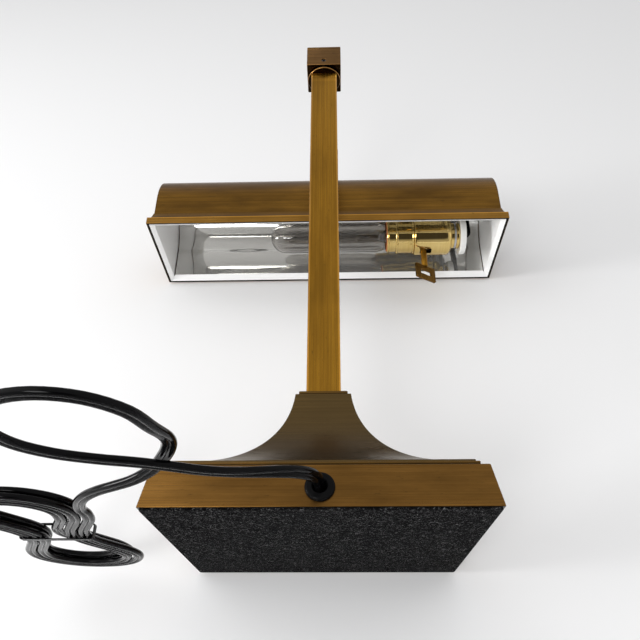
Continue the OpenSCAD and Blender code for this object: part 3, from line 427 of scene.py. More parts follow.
# a tone is a band's lower and upper height and its factor
brassSpecs = {
    # the base's inside faces, seen through the cord hole, are painted shade
    "baseBrass": {**antique, "dark": (0.155, 0.074, 0.0165), "light": (0.254, 0.127, 0.031),
                  "lines": levelLines, "clouds": levelClouds, "inner": "innerSide"},
    "plinthBrass": {**darkened, "dark": (0.100, 0.053, 0.0140), "light": (0.193, 0.103, 0.0270),
                    "lines": levelLines, "shift": (0.3, 0.1, 0),
                    # painted shadow: dark bands along the plinth's foot and along the collar's foot
                    "tones": ((0, 25.9, 0.3), (92.0, 93.4, 0.35))},
    "flareBrass": {**darkened, "dark": (0.095, 0.060, 0.0230), "light": (0.136, 0.087, 0.0335), "patina": 0.3,
                   "lines": levelLines, "clouds": levelClouds, "shift": (0.7, 0.2, 0)},
    # the post's cut edges get a painted highlight
    "postBrass": {**golden, "dark": (0.241, 0.113, 0.0122), "light": (0.412, 0.205, 0.0238),
                  "stain": (0.130, 0.062, 0.0087), "patina": 0.5, "rough": 0.36, "lines": uprightLines,
                  "clouds": uprightClouds, "shift": (0.2, 0.4, 0), "highlitFaces": "cutEdge",
                  # the post's top is painted lighter, painted light that lifts the shade under the disc and
                  # block
                  "tones": ((405.0, 416.5, 1.2), (411.0, 416.5, 1.6))},
    "blockBrass": {**blocky, "lines": levelLines, "shift": (0.5, 0.6, 0)},
    "swivelBrass": {**blocky, "lines": levelLines, "shift": (0.5, 0.6, 0),
                    # the block's underside is nearly black, and a painted highlight runs along its lower edge
                    "tones": ((0, 419.15, 0.1), (419.25, 419.8, 2.4))},
    "discBrass": {**blocky, "lines": levelLines, "shift": (0.3, 0.2, 0),
                  # the disc's underside is nearly black, and its rounded edge gets a painted highlight
                  "tones": ((0, 416.15, 0.1), (416.3, 417.9, 2.2))},
    "boomBrass": {**golden, "lines": (2600, 9, 2600), "shift": (0.1, 0.7, 0)},
    "shadeBrass": {**antique, "dark": (0.143, 0.069, 0.0115), "light": (0.266, 0.134, 0.0236), "patina": 0.68,
                   "lines": longLines, "clouds": longClouds, "shift": (0.9, 0.3, 0)},
    "shadeEndBrass": {**antique, "lines": (9, 9, 2600), "shift": (0.4, 0.8, 0)},
    "rimBrass": {**golden, "dark": (0.19, 0.093, 0.017), "light": (0.42, 0.215, 0.041), "lines": longLines,
                 "shift": (0.6, 0.9, 0), "inner": "innerSide",
                 # a painted highlight runs along the top edge of the rim's band; the cove above is darker
                 "tones": ((334.7, 336.1, 1.9), (336.3, 400, 0.6))},
    "keyBrass": {**golden, "lines": uprightLines, "shift": (0.8, 0.5, 0), "tones": ((0, 308, 0.45),)},
    "socketBrass": {"dark": (0.62, 0.445, 0.15), "light": (0.74, 0.565, 0.235), "stain": (0.55, 0.36, 0.11),
                    "patina": 0.25, "specks": 0.15, "smooth": 0.04, "rough": 0.10, "bump": 0.02,
                    "lines": (900, 30, 30)},
}
for name, spec in brassSpecs.items():
    brassFinish(name, spec)

archHigh, rimLow = 364.85, 328.05  # heights of the shade's half round and of its rim


def mirrorFinish(name, satinTop):
    # polished sheet with slow waves from rolling and faint wiping marks; below satinTop it is satin and paler
    tree, shader = newFinish(name)
    place = objectPlace(tree)
    wipe = noiseNode(mapped(place, (14, 260, 260)), 1.0, 4.0, 0.6)
    wave = noiseNode(mapped(place, (10, 34, 34)), 1.0, 1.0, 0.4)
    satin = bandOf(place, 0, satinTop)
    colour = mixNode(wipe, (0.61, 0.605, 0.585), (0.73, 0.725, 0.705))
    haze = rangeNode(wipe, 0.3, 0.7, 0.03, 0.08)
    # the sides bow a little outwards towards the foot, by the square of the depth under the arch
    under = rangeNode(axisOf(place, "Z"), archHigh * mm, rimLow * mm)
    height = mathNode("ADD", times(times(under, under), -0.9), times(wave, 0.12))
    setInputs(shader, {
        "Base Color": mixNode(satin, colour, (0.96, 0.96, 0.955)),
        "Roughness": mathNode("ADD", haze, times(satin, 0.35)),
        "Metallic": rangeNode(satin, 0.0, 1.0, 0.85, 0.1),
        "Normal": bumpNode(height, 1.0, 0.002)})


def feltFinish(name):
    # pressed fibres: dark ground, lighter flecks, and a soft tangled surface
    tree, shader = newFinish(name)
    place = objectPlace(tree)
    fibre = noiseNode(place, 430.0, 3.0, 0.8, 2.4)
    tuft = noiseNode(place, 240.0, 5.0, 0.7, 0.8)
    fade = noiseNode(place, 22.0, 3.0, 0.5)
    ground = rangeNode(tuft, 0.35, 0.65)
    colour = mixNode(ground, (0.0014, 0.0014, 0.0016), (0.005, 0.005, 0.0054))
    colour = mixNode(rangeNode(fibre, 0.55, 0.68), colour, (0.18, 0.178, 0.178))
    colour = mixNode(rangeNode(fade, 0.4, 0.7, 0.0, 0.2), colour, (0.01, 0.01, 0.011))
    setInputs(shader, {
        "Base Color": colour, "Roughness": 0.96, "Specular IOR Level": 0.02,
        "Normal": bumpNode(mathNode("ADD", fibre, tuft), 0.5, 0.0006)})


def mouldedFinish(name, dark, light, smooth, rough, grain, bump, shine, metal):
    # moulded or drawn stuff: slight colour drift, handling marks and a fine orange peel
    tree, shader = newFinish(name)
    place = objectPlace(tree)
    drift = noiseNode(place, 38.0, 4.0, 0.55)
    peel = noiseNode(place, grain, 3.0, 0.6)
    setInputs(shader, {
        "Base Color": mixNode(drift, dark, light), "Specular IOR Level": shine, "Metallic": metal,
        "Roughness": rangeNode(peel, 0.3, 0.7, smooth, rough),
        "Normal": bumpNode(peel, bump, 0.0003)})


def glassFinish(name):
    # clear glass whose smoothness drifts a little
    tree, shader = newFinish(name)
    drift = noiseNode(objectPlace(tree), 30.0, 2.0, 0.5)
    setInputs(shader, {
        "Base Color": (0.74, 0.725, 0.71, 1.0), "Roughness": rangeNode(drift, 0.3, 0.7, 0.0, 0.03),
        "Transmission Weight": 1.0, "IOR": 1.47})


mirrorFinish("mirrorLining", 332.5)
mirrorFinish("mirrorEnds", 420.0)
feltFinish("greyFelt")
glassFinish("clearGlass")
# dark and light tone, smoothest and roughest, grain, bump, shine, metal
mouldedSpecs = {
    "cordVinyl": ((0.0012, 0.0012, 0.0014), (0.0024, 0.0024, 0.0027), 0.07, 0.14, 300.0, 0.04, 0.09, 0.0),
    "plugVinyl": ((0.003, 0.003, 0.0032), (0.006, 0.006, 0.0064), 0.16, 0.28, 900.0, 0.1, 0.05, 0.0),
    "whiteCard": ((0.78, 0.78, 0.75), (0.88, 0.88, 0.86), 0.5, 0.65, 700.0, 0.1, 0.5, 0.0),
    "redFibre": ((0.46, 0.13, 0.035), (0.62, 0.21, 0.06), 0.6, 0.8, 900.0, 0.2, 0.5, 0.0),
    "blackMoulding": ((0.02, 0.018, 0.016), (0.045, 0.04, 0.035), 0.4, 0.6, 260.0, 0.08, 0.5, 0.0),
    "zincSteel": ((0.42, 0.43, 0.45), (0.60, 0.61, 0.62), 0.25, 0.42, 160.0, 0.1, 0.5, 1.0),
    "darkSteel": ((0.10, 0.10, 0.105), (0.17, 0.17, 0.175), 0.3, 0.5, 160.0, 0.1, 0.5, 1.0),
    "castIron": ((0.06, 0.06, 0.065), (0.13, 0.13, 0.135), 0.55, 0.75, 500.0, 0.4, 0.5, 1.0),
    "capAluminium": ((0.62, 0.62, 0.60), (0.76, 0.76, 0.74), 0.2, 0.35, 160.0, 0.1, 0.5, 1.0),
    "drawnWire": ((0.16, 0.155, 0.15), (0.28, 0.27, 0.265), 0.3, 0.45, 160.0, 0.1, 0.5, 1.0),
}
for name, spec in mouldedSpecs.items():
    mouldedFinish(name, *spec)


def dressNode(node, finish):
    cadNodes[node].data.materials.clear()
    cadNodes[node].data.materials.append(finishes[finish])


print("finishes made:", len(finishes))

# Cord: out of the base's back, round one loose loop, and into a tied hank with its plug
cordSpec = {
    "width": 6.6, "thick": 3.4, "length": 1.89, "exit": (0.0, 82.2, 11.5),
    "twist": -60.0, "twistFrom": 14, "twistOver": 22,  # degrees, and points of the path
    "route": [
        (0, 72, 10), (0, 76, 10.2), (0, 84, 11.6), (1, 92, 12.6), (4, 100, 12.4), (9.5, 108, 11),
        (17, 115.5, 8.8), (26.5, 123, 6.2), (37, 130.5, 3.8), (48.5, 138, 2.2), (60.5, 144.5, 1.9),
        (73, 149.5, 1.9), (88, 154, 1.9), (103, 161, 1.9), (114, 172, 1.9), (118, 187, 1.9),
        (114, 202, 1.9), (103, 213, 1.9), (88, 217, 1.9), (73, 213, 1.9), (62, 202, 1.9), (57.5, 187, 2.2),
        (56, 174, 4.2), (57, 162.5, 6), (59.5, 153, 6.5), (63, 144.5, 6.5), (67.5, 136.5, 5.6),
        (74, 129.5, 3.9), (82, 123.5, 2.5), (91, 118, 1.9), (100, 111.5, 1.9), (107.5, 104.5, 1.9),
        (113.5, 96.5, 2), (118, 87.5, 2.2),
    ],
    "hankAt": (156.0, 20.0), "run": 100.0, "fold": 20.0, "step": 7.6, "waist": 16.0, "runs": 8, "climb": 4,
    "layers": (2.5, 6.4), "tail": 36.0, "tieWall": 0.6, "tieWidth": 4.0, "tieRoom": 0.3,
}
c = SimpleNamespace(**cordSpec)


def hankRadius(k):
    # half the hank's width at a run, wider by half a step for each run before or after the climb
    return c.fold + abs(c.climb - k) * c.step / 2


def hankPoints():
    # runs side by side, drawn in at the waist by a squared cosine, each joined to the next by a half round
    found = []
    low, high = c.layers
    runPoints, foldPoints = 8, 9
    t, f = np.arange(runPoints) / runPoints, np.arange(foldPoints) / foldPoints
    y = (t - 0.5) * c.run
    drawnIn = c.waist * np.cos(np.pi * y / c.run) ** 2
    for k in range(c.runs):
        side, r = (-1 if k % 2 == 0 else 1), hankRadius(k)
        level = low if k < c.climb else high
        rise = low + (high - low) * smoothStep(t) if k == c.climb else np.full(runPoints, level)
        found.append(np.column_stack([side * (r - drawnIn), side * y, rise]))
        if k < c.runs - 1:
            fold = r + (hankRadius(k + 1) - r) * f
            end = c.run / 2 + fold * np.sin(np.pi * f)
            across = side * fold * np.cos(np.pi * f)
            found.append(np.column_stack([across, side * end, np.full(foldPoints, level)]))
    ends = c.run / 2 + c.tail * np.array([0, 0.5, 1])
    found.append(np.column_stack([np.full(3, hankRadius(c.runs - 1)), ends, np.full(3, high)]))
    return np.vstack(found) + np.array([*c.hankAt, 0.0])


def cordSection():
    # two round lobes with a groove between them
    lobe, groove = c.thick / 2, c.thick * 0.24
    right = arcOf((c.width / 2 - lobe, 0), lobe, -122, 122, 11)
    return np.vstack([right, [[0, groove]], -right, [[0, -groove]]])


hankRoute = hankPoints()
hankEnd = hankRoute[-1]
entry = [(*(hankRoute[0, :2] + (0, 8)), c.layers[0])]
cordPath = curveThrough(np.vstack([c.route, entry, hankRoute]), 4)
untwist = smoothStep(np.clip((np.arange(len(cordPath)) - c.twistFrom) / c.twistOver, 0, 1))
cordTwist = np.radians(c.twist) * (1 - untwist)  # leaves on edge, then lies flat
cordSolid = solid(sweepOf(cordSection(), cordPath, twist=cordTwist))
cordPiece = makePiece("powerCord", [cordSolid], "stand", "cordVinyl", "cord_lead cord_hank", sharp=60)

tieLeft, tieRight = (hankRadius(k) - c.waist + c.width / 2 + c.tieRoom for k in (0, 1))
tieHigh = (c.layers[1] + c.thick / 2 + 2 * c.tieWall) / 2
tieHalf, tieEnd = (tieLeft + tieRight) / 2 + c.tieWall, c.tieWidth / 2
tieIn = (tieHalf - c.tieWall, tieHigh - c.tieWall, 1.0)
tieBand = tubeOf(-tieEnd, tieEnd, (tieHalf, tieHigh, 1.6), tieIn, 6)
tieAt = (c.hankAt[0] + (tieRight - tieLeft) / 2, c.hankAt[1], tieHigh)
tiePiece = makePiece("cordTie", [solid(placed(tieBand, alongY, tieAt), loop=True)], "stand", "plugVinyl",
                     "cord_tie", bevel=0.15)

plugSpec = {"long": 30.0, "wide": 24.0, "high": 12.8, "neck": 11.6, "ribs": 4, "pitch": 1.5, "groove": 0.9}


def plugBody(spec):
    # rounded rings from a ribbed neck out to the full body, with a rounded front;
    # a row is distance, half width, half height and corner radius
    neck = spec["neck"] / 2
    waist = neck - spec["groove"]
    rows = [(0.0, waist, 3.0, 1.6)]
    for k in range(spec["ribs"]):
        y = 0.4 + k * spec["pitch"]
        rows += [(y, neck, 3.6, 2.0), (y + 0.8, neck, 3.6, 2.0)]
        rows += [(y + 0.9, waist, 2.9, 1.6), (y + 1.4, waist, 2.9, 1.6)]
    wide, high, long = spec["wide"] / 2, spec["high"] / 2, spec["long"]
    rows += [(6.4, neck, 3.8, 2.2), (11.0, wide * 0.8, high * 0.88, 2.6), (16.5, wide, high, 2.8),
             (long - 1.2, wide, high, 2.8), (long - 0.3, wide - 0.4, high - 0.4, 2.6),
             (long, wide - 1.2, high - 1.2, 2.2)]
    return placed(stackOf(rows, 6), outY, (hankEnd[0], hankEnd[1], high))


plugPiece = makePiece("plugBody", [solid(plugBody(plugSpec))], "stand", "plugVinyl", "plug_body", sharp=40)
dressNode("plug_blades", "zincSteel")
print("cord laid, points:", len(cordPath))

# Stand: felt, leaning base, plinth plate, hollow flare, collar and post
standSpec = {
    "baseX": 91.0, "baseY": 84.0, "foot": 1.2, "baseTop": 24.0, "lean": 4.0, "wall": 1.6, "feltInset": 1.0,
    "plinthInset": 8.0, "plinthTop": 27.0, "hole": 5.3, "flareInset": 2.0, "flareHigh": 65.0,
    "flareTop": 18.0, "flareRound": 72.0, "lip": 1.5, "ledge": 0.6, "flareWall": 1.8, "collar": 15.9,
    "collarTop": 95.0, "postX": 11.5, "postY": 9.4, "postTop": 416.0, "postCut": 1.2, "postWall": 1.6,
}
s = SimpleNamespace(**standSpec)
rodHole = (s.hole,) * 3


def feltPad():
    # a flat pad, drawn in a little at its edges
    x, y = s.baseX - s.feltInset, s.baseY - s.feltInset
    rows = ((0.0, 0.5, 1.6), (0.25, 0.1, 2.0), (0.9, 0.0, 2.0), (s.foot, 0.1, 2.0))
    return stackOf([(z, x - inset, y - inset, corner) for z, inset, corner in rows], 5)


def baseShell():
    # up the leaning sides, in over the top to the rod's hole, and back down inside the wall
    x, y, wall, low, high = s.baseX, s.baseY, s.wall, s.foot, s.baseTop
    lean = wall + s.lean
    foot = wall + s.lean / (high - low) * wall
    return stackOf([
        (low, x, y, 0.7), (high, x - s.lean, y - s.lean, 0.7), (high, *rodHole), (high - wall, *rodHole),
        (high - wall, x - lean, y - lean, 0.5), (low, x - foot, y - foot, 0.5)], 4)


def plateWithHole(low, high, halfX, halfY):
    # a flat plate with the rod's hole
    return solid(tubeOf(low, high, (halfX, halfY, 0.8), rodHole, 4), loop=True)


def flareHalf(z, foot, top):
    # half width of the hollow curve: a circle through the ledge's edge and the top
    run, rise = foot - top - s.ledge, s.flareHigh - s.lip
    chord = math.hypot(run, rise)
    back = math.sqrt(s.flareRound**2 - chord**2 / 4)
    cx = top + run / 2 + back * rise / chord
    cz = s.lip + rise / 2 + back * run / chord
    return cx - np.sqrt(np.maximum(s.flareRound**2 - (z - cz) ** 2, 0.0))


def flareShell():
    # a low lip, the hollow curve up to the top, and the same curve back down inside the wall
    x, y = (half - s.plinthInset - s.flareInset for half in (s.baseX, s.baseY))
    z0, wall, top, high = s.plinthTop, s.flareWall, s.flareTop, s.flareHigh
    upCount, downCount = 44, 24
    up = s.lip + (high - s.lip) * np.linspace(0, 1, upCount) ** 1.6  # closer together near the lip
    down = np.linspace(high - wall, 0.0, downCount)
    rows = [(z0, x, y, 0.5), (z0 + s.lip, x, y, 0.5)]
    rows += list(zip(z0 + up, flareHalf(up, x, top), flareHalf(up, y, top), np.full(upCount, 0.45)))
    rows += [(z0 + high, *rodHole), (z0 + high - wall, *rodHole)]
    inside = (flareHalf(down + wall, half - wall, top - wall) for half in (x, y))
    rows += list(zip(z0 + down, *inside, np.full(downCount, 0.4)))
    return stackOf(rows, 4)


def tubeRows(low, high, x, y, cut, wall):
    # a straight tube with cut edges
    return tubeOf(low, high, (x, y, cut), (x - wall, y - wall, cut / 2), 1)


makePiece("feltPad", [solid(feltPad())], "stand", "greyFelt", "felt_pad")
basePiece = makePiece("baseShell", [solid(baseShell(), loop=True)], "stand", "baseBrass", "base_shell",
                      bevel=0.55)
plinth = plateWithHole(s.baseTop, s.plinthTop, s.baseX - s.plinthInset, s.baseY - s.plinthInset)
makePiece("plinthPlate", [plinth], "stand", "plinthBrass", "plinth_plate", bevel=0.5)
makePiece("flare", [solid(flareShell(), loop=True)], "stand", "flareBrass", "flare", sharp=40, bevel=0.3)
collar = plateWithHole(s.plinthTop + s.flareHigh, s.collarTop, s.collar, s.collar)
makePiece("collarPlate", [collar], "stand", "plinthBrass", "collar_plate", bevel=0.5)
postTube = tubeRows(s.collarTop, s.postTop, s.postX, s.postY, s.postCut, s.postWall)
postPiece = makePiece("post", [solid(postTube, loop=True)], "stand", "postBrass", "post", bevel=0.28)
# the cut edges are the faces that slant in x and in y
markFaces(postPiece, "cutEdge", lambda middle, normal: np.abs(normal[:, :2]).min(1) > 0.3)

grommetSpec = {
    "at": (0.0, 82.193, 11.5), "lean": math.atan(s.lean / (s.baseTop - s.foot)), "round": 7.75,
    "neck": 5.75, "bore": 3.75, "flange": 2.2, "wall": 1.85, "back": 7.0, "ease": 1.5, "boreEase": 0.5,
    "holeRoom": 0.05,
}
g = SimpleNamespace(**grommetSpec)
outOfBack = (0.0, math.cos(g.lean), math.sin(g.lean))
inner = -g.wall - g.flange
grommetProfile = np.vstack([
    [(inner, g.bore), (inner, g.back), (-g.wall, g.back), (-g.wall, g.neck), (0, g.neck), (0, g.round)],
    arcOf((g.flange - g.ease, g.round - g.ease), g.ease, 90, 0, 7),
    [(g.flange, g.bore + g.boreEase), (g.flange - g.boreEase, g.bore)]])
makePiece("cordGrommet", [solid(latheOf(grommetProfile, g.at, outOfBack), loop=True)], "stand", "plugVinyl",
          "cord_grommet", sharp=40)
cutBy(basePiece, [("cordHole", rodOf(-8, 6, g.neck + g.holeRoom, g.at, outOfBack, 48))])


def insideBase(middle, normal):
    # under the top and behind the leaning outer sides
    lean = s.lean * (middle[:, 2] - s.foot) / (s.baseTop - s.foot)
    past = (np.abs(middle[:, :2]) - (s.baseX, s.baseY)).max(1) + lean
    topMargin, sideMargin = 0.5, 0.9
    return (middle[:, 2] < s.baseTop - topMargin) & (past < -sideMargin)


markFaces(basePiece, "innerSide", insideBase)
print("stand made")

# Swivel: disc, block with its cap, boom, forked knuckle and pin
swivelSpec = {
    "disc": 15.0, "discLow": 416.0, "discFace": 12.0, "discHole": 5.3, "blockLow": 419.1,
    "blockTop": 441.5, "capTop": 444.0, "blockX": 15.4, "blockY": 15.4, "blockBack": 0.6, "cut": 0.8,
    "bore": 5.15, "nutRoom": 9.66, "floor": 9.0, "screwHigh": 6.5, "screw": 2.0, "screwFrom": 6.2,
    "screwLong": 10.4, "axis": 431.55, "reach": 145.0, "boomX": 11.5, "boomZ": 8.0, "boomWall": 2.0,
    "boomCut": 1.2, "knuckleX": 12.25, "knuckleR": 9.0, "knuckleBack": 36.0, "slot": 6.2, "slotBack": 18.0,
    "pin": 3.0, "pinEase": 0.5, "past": 20.0,
}
w = SimpleNamespace(**swivelSpec)
discEdge = np.radians(np.linspace(-90, 90, 9))
discRim = np.column_stack([1.0 + np.sin(discEdge), w.disc - 0.8 + 0.8 * np.cos(discEdge)])
discProfile = np.vstack([[(0, w.discHole)], discRim,
                         [(2.0, w.discFace), (3.0, w.discFace), (3.0, w.discHole)]])
makePiece("swivelDisc", [solid(latheOf(discProfile, (0, 0, w.discLow), (0, 0, 1), 96), loop=True)], "stand",
          "discBrass", "swivel_disc", sharp=45)

blockSides, floor = (w.blockX, w.blockY, w.cut), w.blockLow + w.floor
nutRoom, blockBore = (w.nutRoom,) * 3, (w.bore,) * 3
blockGrid = stackOf([(w.blockLow, *blockSides), (w.blockTop, *blockSides), (w.blockTop, *nutRoom),
                     (floor, *nutRoom), (floor, *blockBore), (w.blockLow, *blockBore)], 8)
blockGrid[:2, :, 1] += w.blockBack
blockPiece = makePiece("swivelBlock", [solid(blockGrid, loop=True)], "boom", "swivelBrass", "swivel_block",
                       bevel=0.5)
screwAt = (0, w.screwFrom, w.blockLow + w.screwHigh)
cutBy(blockPiece, [("screwHole", rodOf(0, w.screwLong, w.screw, screwAt, (0, 1, 0), 32))])
capGrid = stackOf([(w.blockTop, *blockSides), (w.capTop, *blockSides)], 3)
makePiece("blockCap", [solid(placed(capGrid, at=(0, w.blockBack, 0)))], "boom", "swivelBrass", "block_cap",
          bevel=0.5)

boomFrom, boomTo = w.blockBack - w.blockY, -(w.reach - w.knuckleBack)
boomTube = tubeRows(-boomFrom, -boomTo, w.boomX, w.boomZ, w.boomCut, w.boomWall)
makePiece("boomTube", [solid(placed(boomTube, alongY, (0, 0, w.axis)), loop=True)], "boom", "boomBrass",
          "boom_tube", bevel=0.28)

tiltAt, alongX = (0, -w.reach, w.axis), (1, 0, 0)
knuckleSide = np.vstack([
    [(boomTo, -w.knuckleR), (boomTo, w.knuckleR)],
    arcOf((-w.reach, 0), w.knuckleR, 90, 270, 25)]) + (0, w.axis)
knuckle = makePiece("boomKnuckle", [solid(prismOf(knuckleSide, -w.knuckleX, w.knuckleX))], "boom",
                    "blockBrass", "boom_knuckle", bevel=0.5)
past, slotTo = w.past, w.slotBack
slotBox = np.array([(-past, -past), (slotTo, -past), (slotTo, past), (-past, past)]) + tiltAt[1:]
cutBy(knuckle, [("forkSlot", solid(prismOf(slotBox, -w.slot, w.slot))),
                ("pinHole", rodOf(-past, past, w.pin, tiltAt, alongX, 40))])
pinHalf, pinEase = w.knuckleX, w.pinEase
pinProfile = [(-pinHalf, 0), (-pinHalf, w.pin - pinEase), (pinEase - pinHalf, w.pin),
              (pinHalf - pinEase, w.pin), (pinHalf, w.pin - pinEase), (pinHalf, 0)]
makePiece("pivotPin", [solid(latheOf(pinProfile, tiltAt, alongX, 40), caps=False)], "boom", "socketBrass",
          "pivot_pin")
print("swivel and boom made")

# Shade: trough, flat ends, moulded rim, mirror lining and the bracket it hangs by
shadeSpec = {
    "mid": -145.0, "rim": rimLow, "arc": archHigh, "outer": 46.7, "wall": 1.0, "troughX": 172.2,
    "endX": 173.2, "wallFoot": 332.268, "proud": 4.8, "edge": 0.9, "band": 8.0, "cove": 14.0,
    "coveTurn": 65.0, "slopeHigh": 2.8, "corner": 0.12, "mirror": 43.6, "mirrorThick": 0.6,
    "mirrorX": 170.1, "mirrorEndX": 171.9, "mirrorRoom": 0.3, "lipGap": 0.3, "lipShort": 0.1,
    "mitreGap": 0.15, "ridge": 411.55, "saddleX": 22.0, "saddleY": 11.0, "saddleThick": 3.0, "lug": 6.0,
    "lugFoot": 2.0,
}
h = SimpleNamespace(**shadeSpec)


def archOutline(radius, foot, count=61):
    # half round on two straight sides, from the right foot over the top to the left foot
    curve = arcOf((h.mid, h.arc), radius, 0, 180, count)
    return np.vstack([[(h.mid + radius, foot)], curve, [(h.mid - radius, foot)]])


slopeOut = h.proud - h.edge
slopeCos = math.cos(math.atan(h.slopeHigh / slopeOut))
lipDrop, lipThick = h.lipGap / slopeCos, h.mirrorThick / slopeCos
lipOut = slopeOut * (1 - (lipDrop + lipThick + h.lipShort) / h.slopeHigh)


def lipHeight(out):
    # upper face of the mirror's lip, parallel to the slope inside the rim and a little under it
    return h.rim + h.slopeHigh * (slopeOut - out) / slopeOut - lipDrop


def mirrorWall():
    # the arch, with a lip at each foot that lies out under the rim's slope; every ring ends on the mitre
    thick, near = h.mirrorThick, h.mirror - h.outer
    outside = archOutline(h.mirror, lipHeight(near))
    inside = archOutline(h.mirror - thick, lipHeight(near - thick) - lipThick)[::-1]
    right, left = h.mid + h.outer + lipOut, h.mid - h.outer - lipOut
    upper, lower = lipHeight(lipOut), lipHeight(lipOut) - lipThick
    section = np.vstack([[(right, upper)], outside, [(left, upper), (left, lower)], inside, [(right, lower)]])
    end = h.endX + np.abs(section[:, 0] - h.mid) - h.outer - h.mitreGap
    end = np.maximum(end, h.mirrorX)
    return np.array([np.column_stack([side * end, section]) for side in (-1, 1)])


def mirrorEnd(side):
    # an arch plate and its lip, both ending on the mitre
    back = h.mirrorEndX - h.endX
    front = back - h.mirrorThick
    foot = lipHeight(front) - lipThick
    plate = prismOf(archOutline(h.outer - h.wall - h.mirrorRoom, foot, 91), front, back)
    lip = np.array([(front, foot), (lipOut, lipHeight(lipOut) - lipThick), (lipOut, lipHeight(lipOut)),
                    (back, lipHeight(back))])
    strip = np.array([np.column_stack([lip[:, 0], np.full(4, y), lip[:, 1]]) for y in (-1e3, 1e3)])
    for grid in (plate, strip):
        half = h.outer + grid[..., 0] - h.mitreGap
        grid[..., 1] = np.clip(grid[..., 1], h.mid - half, h.mid + half)
        grid[..., 0] = side * (h.endX + grid[..., 0])
    return [solid(plate), solid(strip)]


def rimMoulding():
    # flat band under a hollow quarter ellipse, with a slope inside,
    # carried round the rectangle with mitred corners
    ease = h.edge / 2
    a = np.radians(np.linspace(0, h.coveTurn, 14))
    coveOut = h.proud - ease
    profile = np.vstack([
        [(0.0, h.slopeHigh), (slopeOut, 0.0), (h.proud - 0.2, 0.0), (h.proud, 0.2),
         (h.proud, h.band - ease)],
        np.column_stack([coveOut * (1 - np.sin(a)), h.band + h.cove * (1 - np.cos(a))]),
        [(0.0, h.band + h.cove * (1 - math.cos(a[-1])))]])
    rows = [(h.rim + z, h.endX + out, h.outer + out, h.corner) for out, z in profile]
    return placed(stackOf(rows, 2), at=(0, h.mid, 0))


def insideRim(middle, normal):
    # the slope under the opening's edge
    out = (np.abs(middle[:, :2] - (0, h.mid)) - (h.endX, h.outer)).max(1)
    return (out < h.proud - 0.15) & (middle[:, 2] < h.rim + h.slopeHigh)


archWall = np.vstack([archOutline(h.outer, h.wallFoot), archOutline(h.outer - h.wall, h.wallFoot)[::-1]])
makePiece("shadeTrough", [solid(prismOf(archWall, -h.troughX, h.troughX))], "shade", "shadeBrass",
          "shade_trough", sharp=30)
for label, side in (("Left", 1), ("Right", -1)):
    plate = prismOf(archOutline(h.outer, h.wallFoot, 91), *sorted((side * h.troughX, side * h.endX)))
    makePiece("shadeEnd" + label, [solid(plate)], "shade", "shadeEndBrass", "shade_end_" + label.lower(),
              sharp=30, bevel=0.35)
    makePiece("mirrorEnd" + label, mirrorEnd(side), "shade", "mirrorEnds", "reflector_end_" + label.lower(),
              sharp=24)
rimPiece = makePiece("shadeRim", [solid(rimMoulding(), loop=True)], "shade", "rimBrass", "shade_rim",
                     sharp=38)
markFaces(rimPiece, "innerSide", insideRim)
makePiece("mirrorTrough", [solid(mirrorWall())], "shade", "mirrorLining", "reflector", sharp=24)

saddleArc, saddleTop = np.linspace(h.saddleY, -h.saddleY, 15), h.ridge + h.saddleThick
saddleSide = np.vstack([
    np.column_stack([h.mid + saddleArc, h.arc + np.sqrt(h.outer**2 - saddleArc**2)]),
    [(h.mid - h.saddleY, saddleTop), (h.mid + h.saddleY, saddleTop)]])
lugLow = h.ridge + h.lugFoot
lugSide = np.vstack([arcOf((h.mid, w.axis), w.knuckleR, 0, 180, 25),
                     [(h.mid - w.knuckleR, lugLow), (h.mid + w.knuckleR, lugLow)]])
saddle, lug = prismOf(saddleSide, -h.saddleX, h.saddleX), prismOf(lugSide, -h.lug, h.lug)
makePiece("shadeBracket", [solid(saddle), solid(lug)], "shade", "blockBrass", "shade_bracket", bevel=0.45)
print("shade made")

# Socket, bulb and key, turned round the bulb's axis (distances run from the middle of the shade towards -X)
socketSpec = {
    "axis": (0.0, -145.0, 347.55), "mouth": 62.5, "shell": 72.5, "cap": 90.5, "neck": 129.0,
    "mouthR": 16.5, "shellR": 17.6, "capR": 20.0, "capBack": 5.0, "capLip": 1.2, "sheet": 0.9,
    "bore": 15.6, "tuck": 2.0, "liner": 15.5, "linerThick": 0.8, "linerOut": 0.7, "coreFace": 91.5,
    "neckR": 13.5, "strapFrom": 132.5, "strapThick": 2.0, "neckEnd": 138.0, "disc": 138.0,
    "discThick": 5.5, "discR": 19.5, "nipple": 5.1, "lead": 3.2, "leadBend": 5.0, "leadTop": 409.95,
}
k = SimpleNamespace(**socketSpec)
keySpec = {
    "x": -100.0, "stem": 3.2, "stemLow": 308.05, "stemTop": 331.95, "stemEase": 0.4, "foot": 2.4,
    "footLong": 1.2, "spindle": 2.0, "spindleTop": 339.25, "slotFrom": 96.3, "slotTo": 108.2,
    "slotHalf": 3.7, "bowX": 12.3, "bowZ": 8.2, "bowThick": 1.3, "bar": 5.4, "bowMid": 300.35,
    "turn": math.radians(34),
}
q = SimpleNamespace(**keySpec)
towardsEnd = (-1.0, 0.0, 0.0)


def turned(profile, count=96):
    return latheOf(profile, k.axis, towardsEnd, count)


def turnedPiece(name, profile, finish, node, sharp):
    # a closed section turned round the bulb's axis
    makePiece(name, [solid(turned(profile), loop=True)], "shade", finish, node, sharp=sharp)


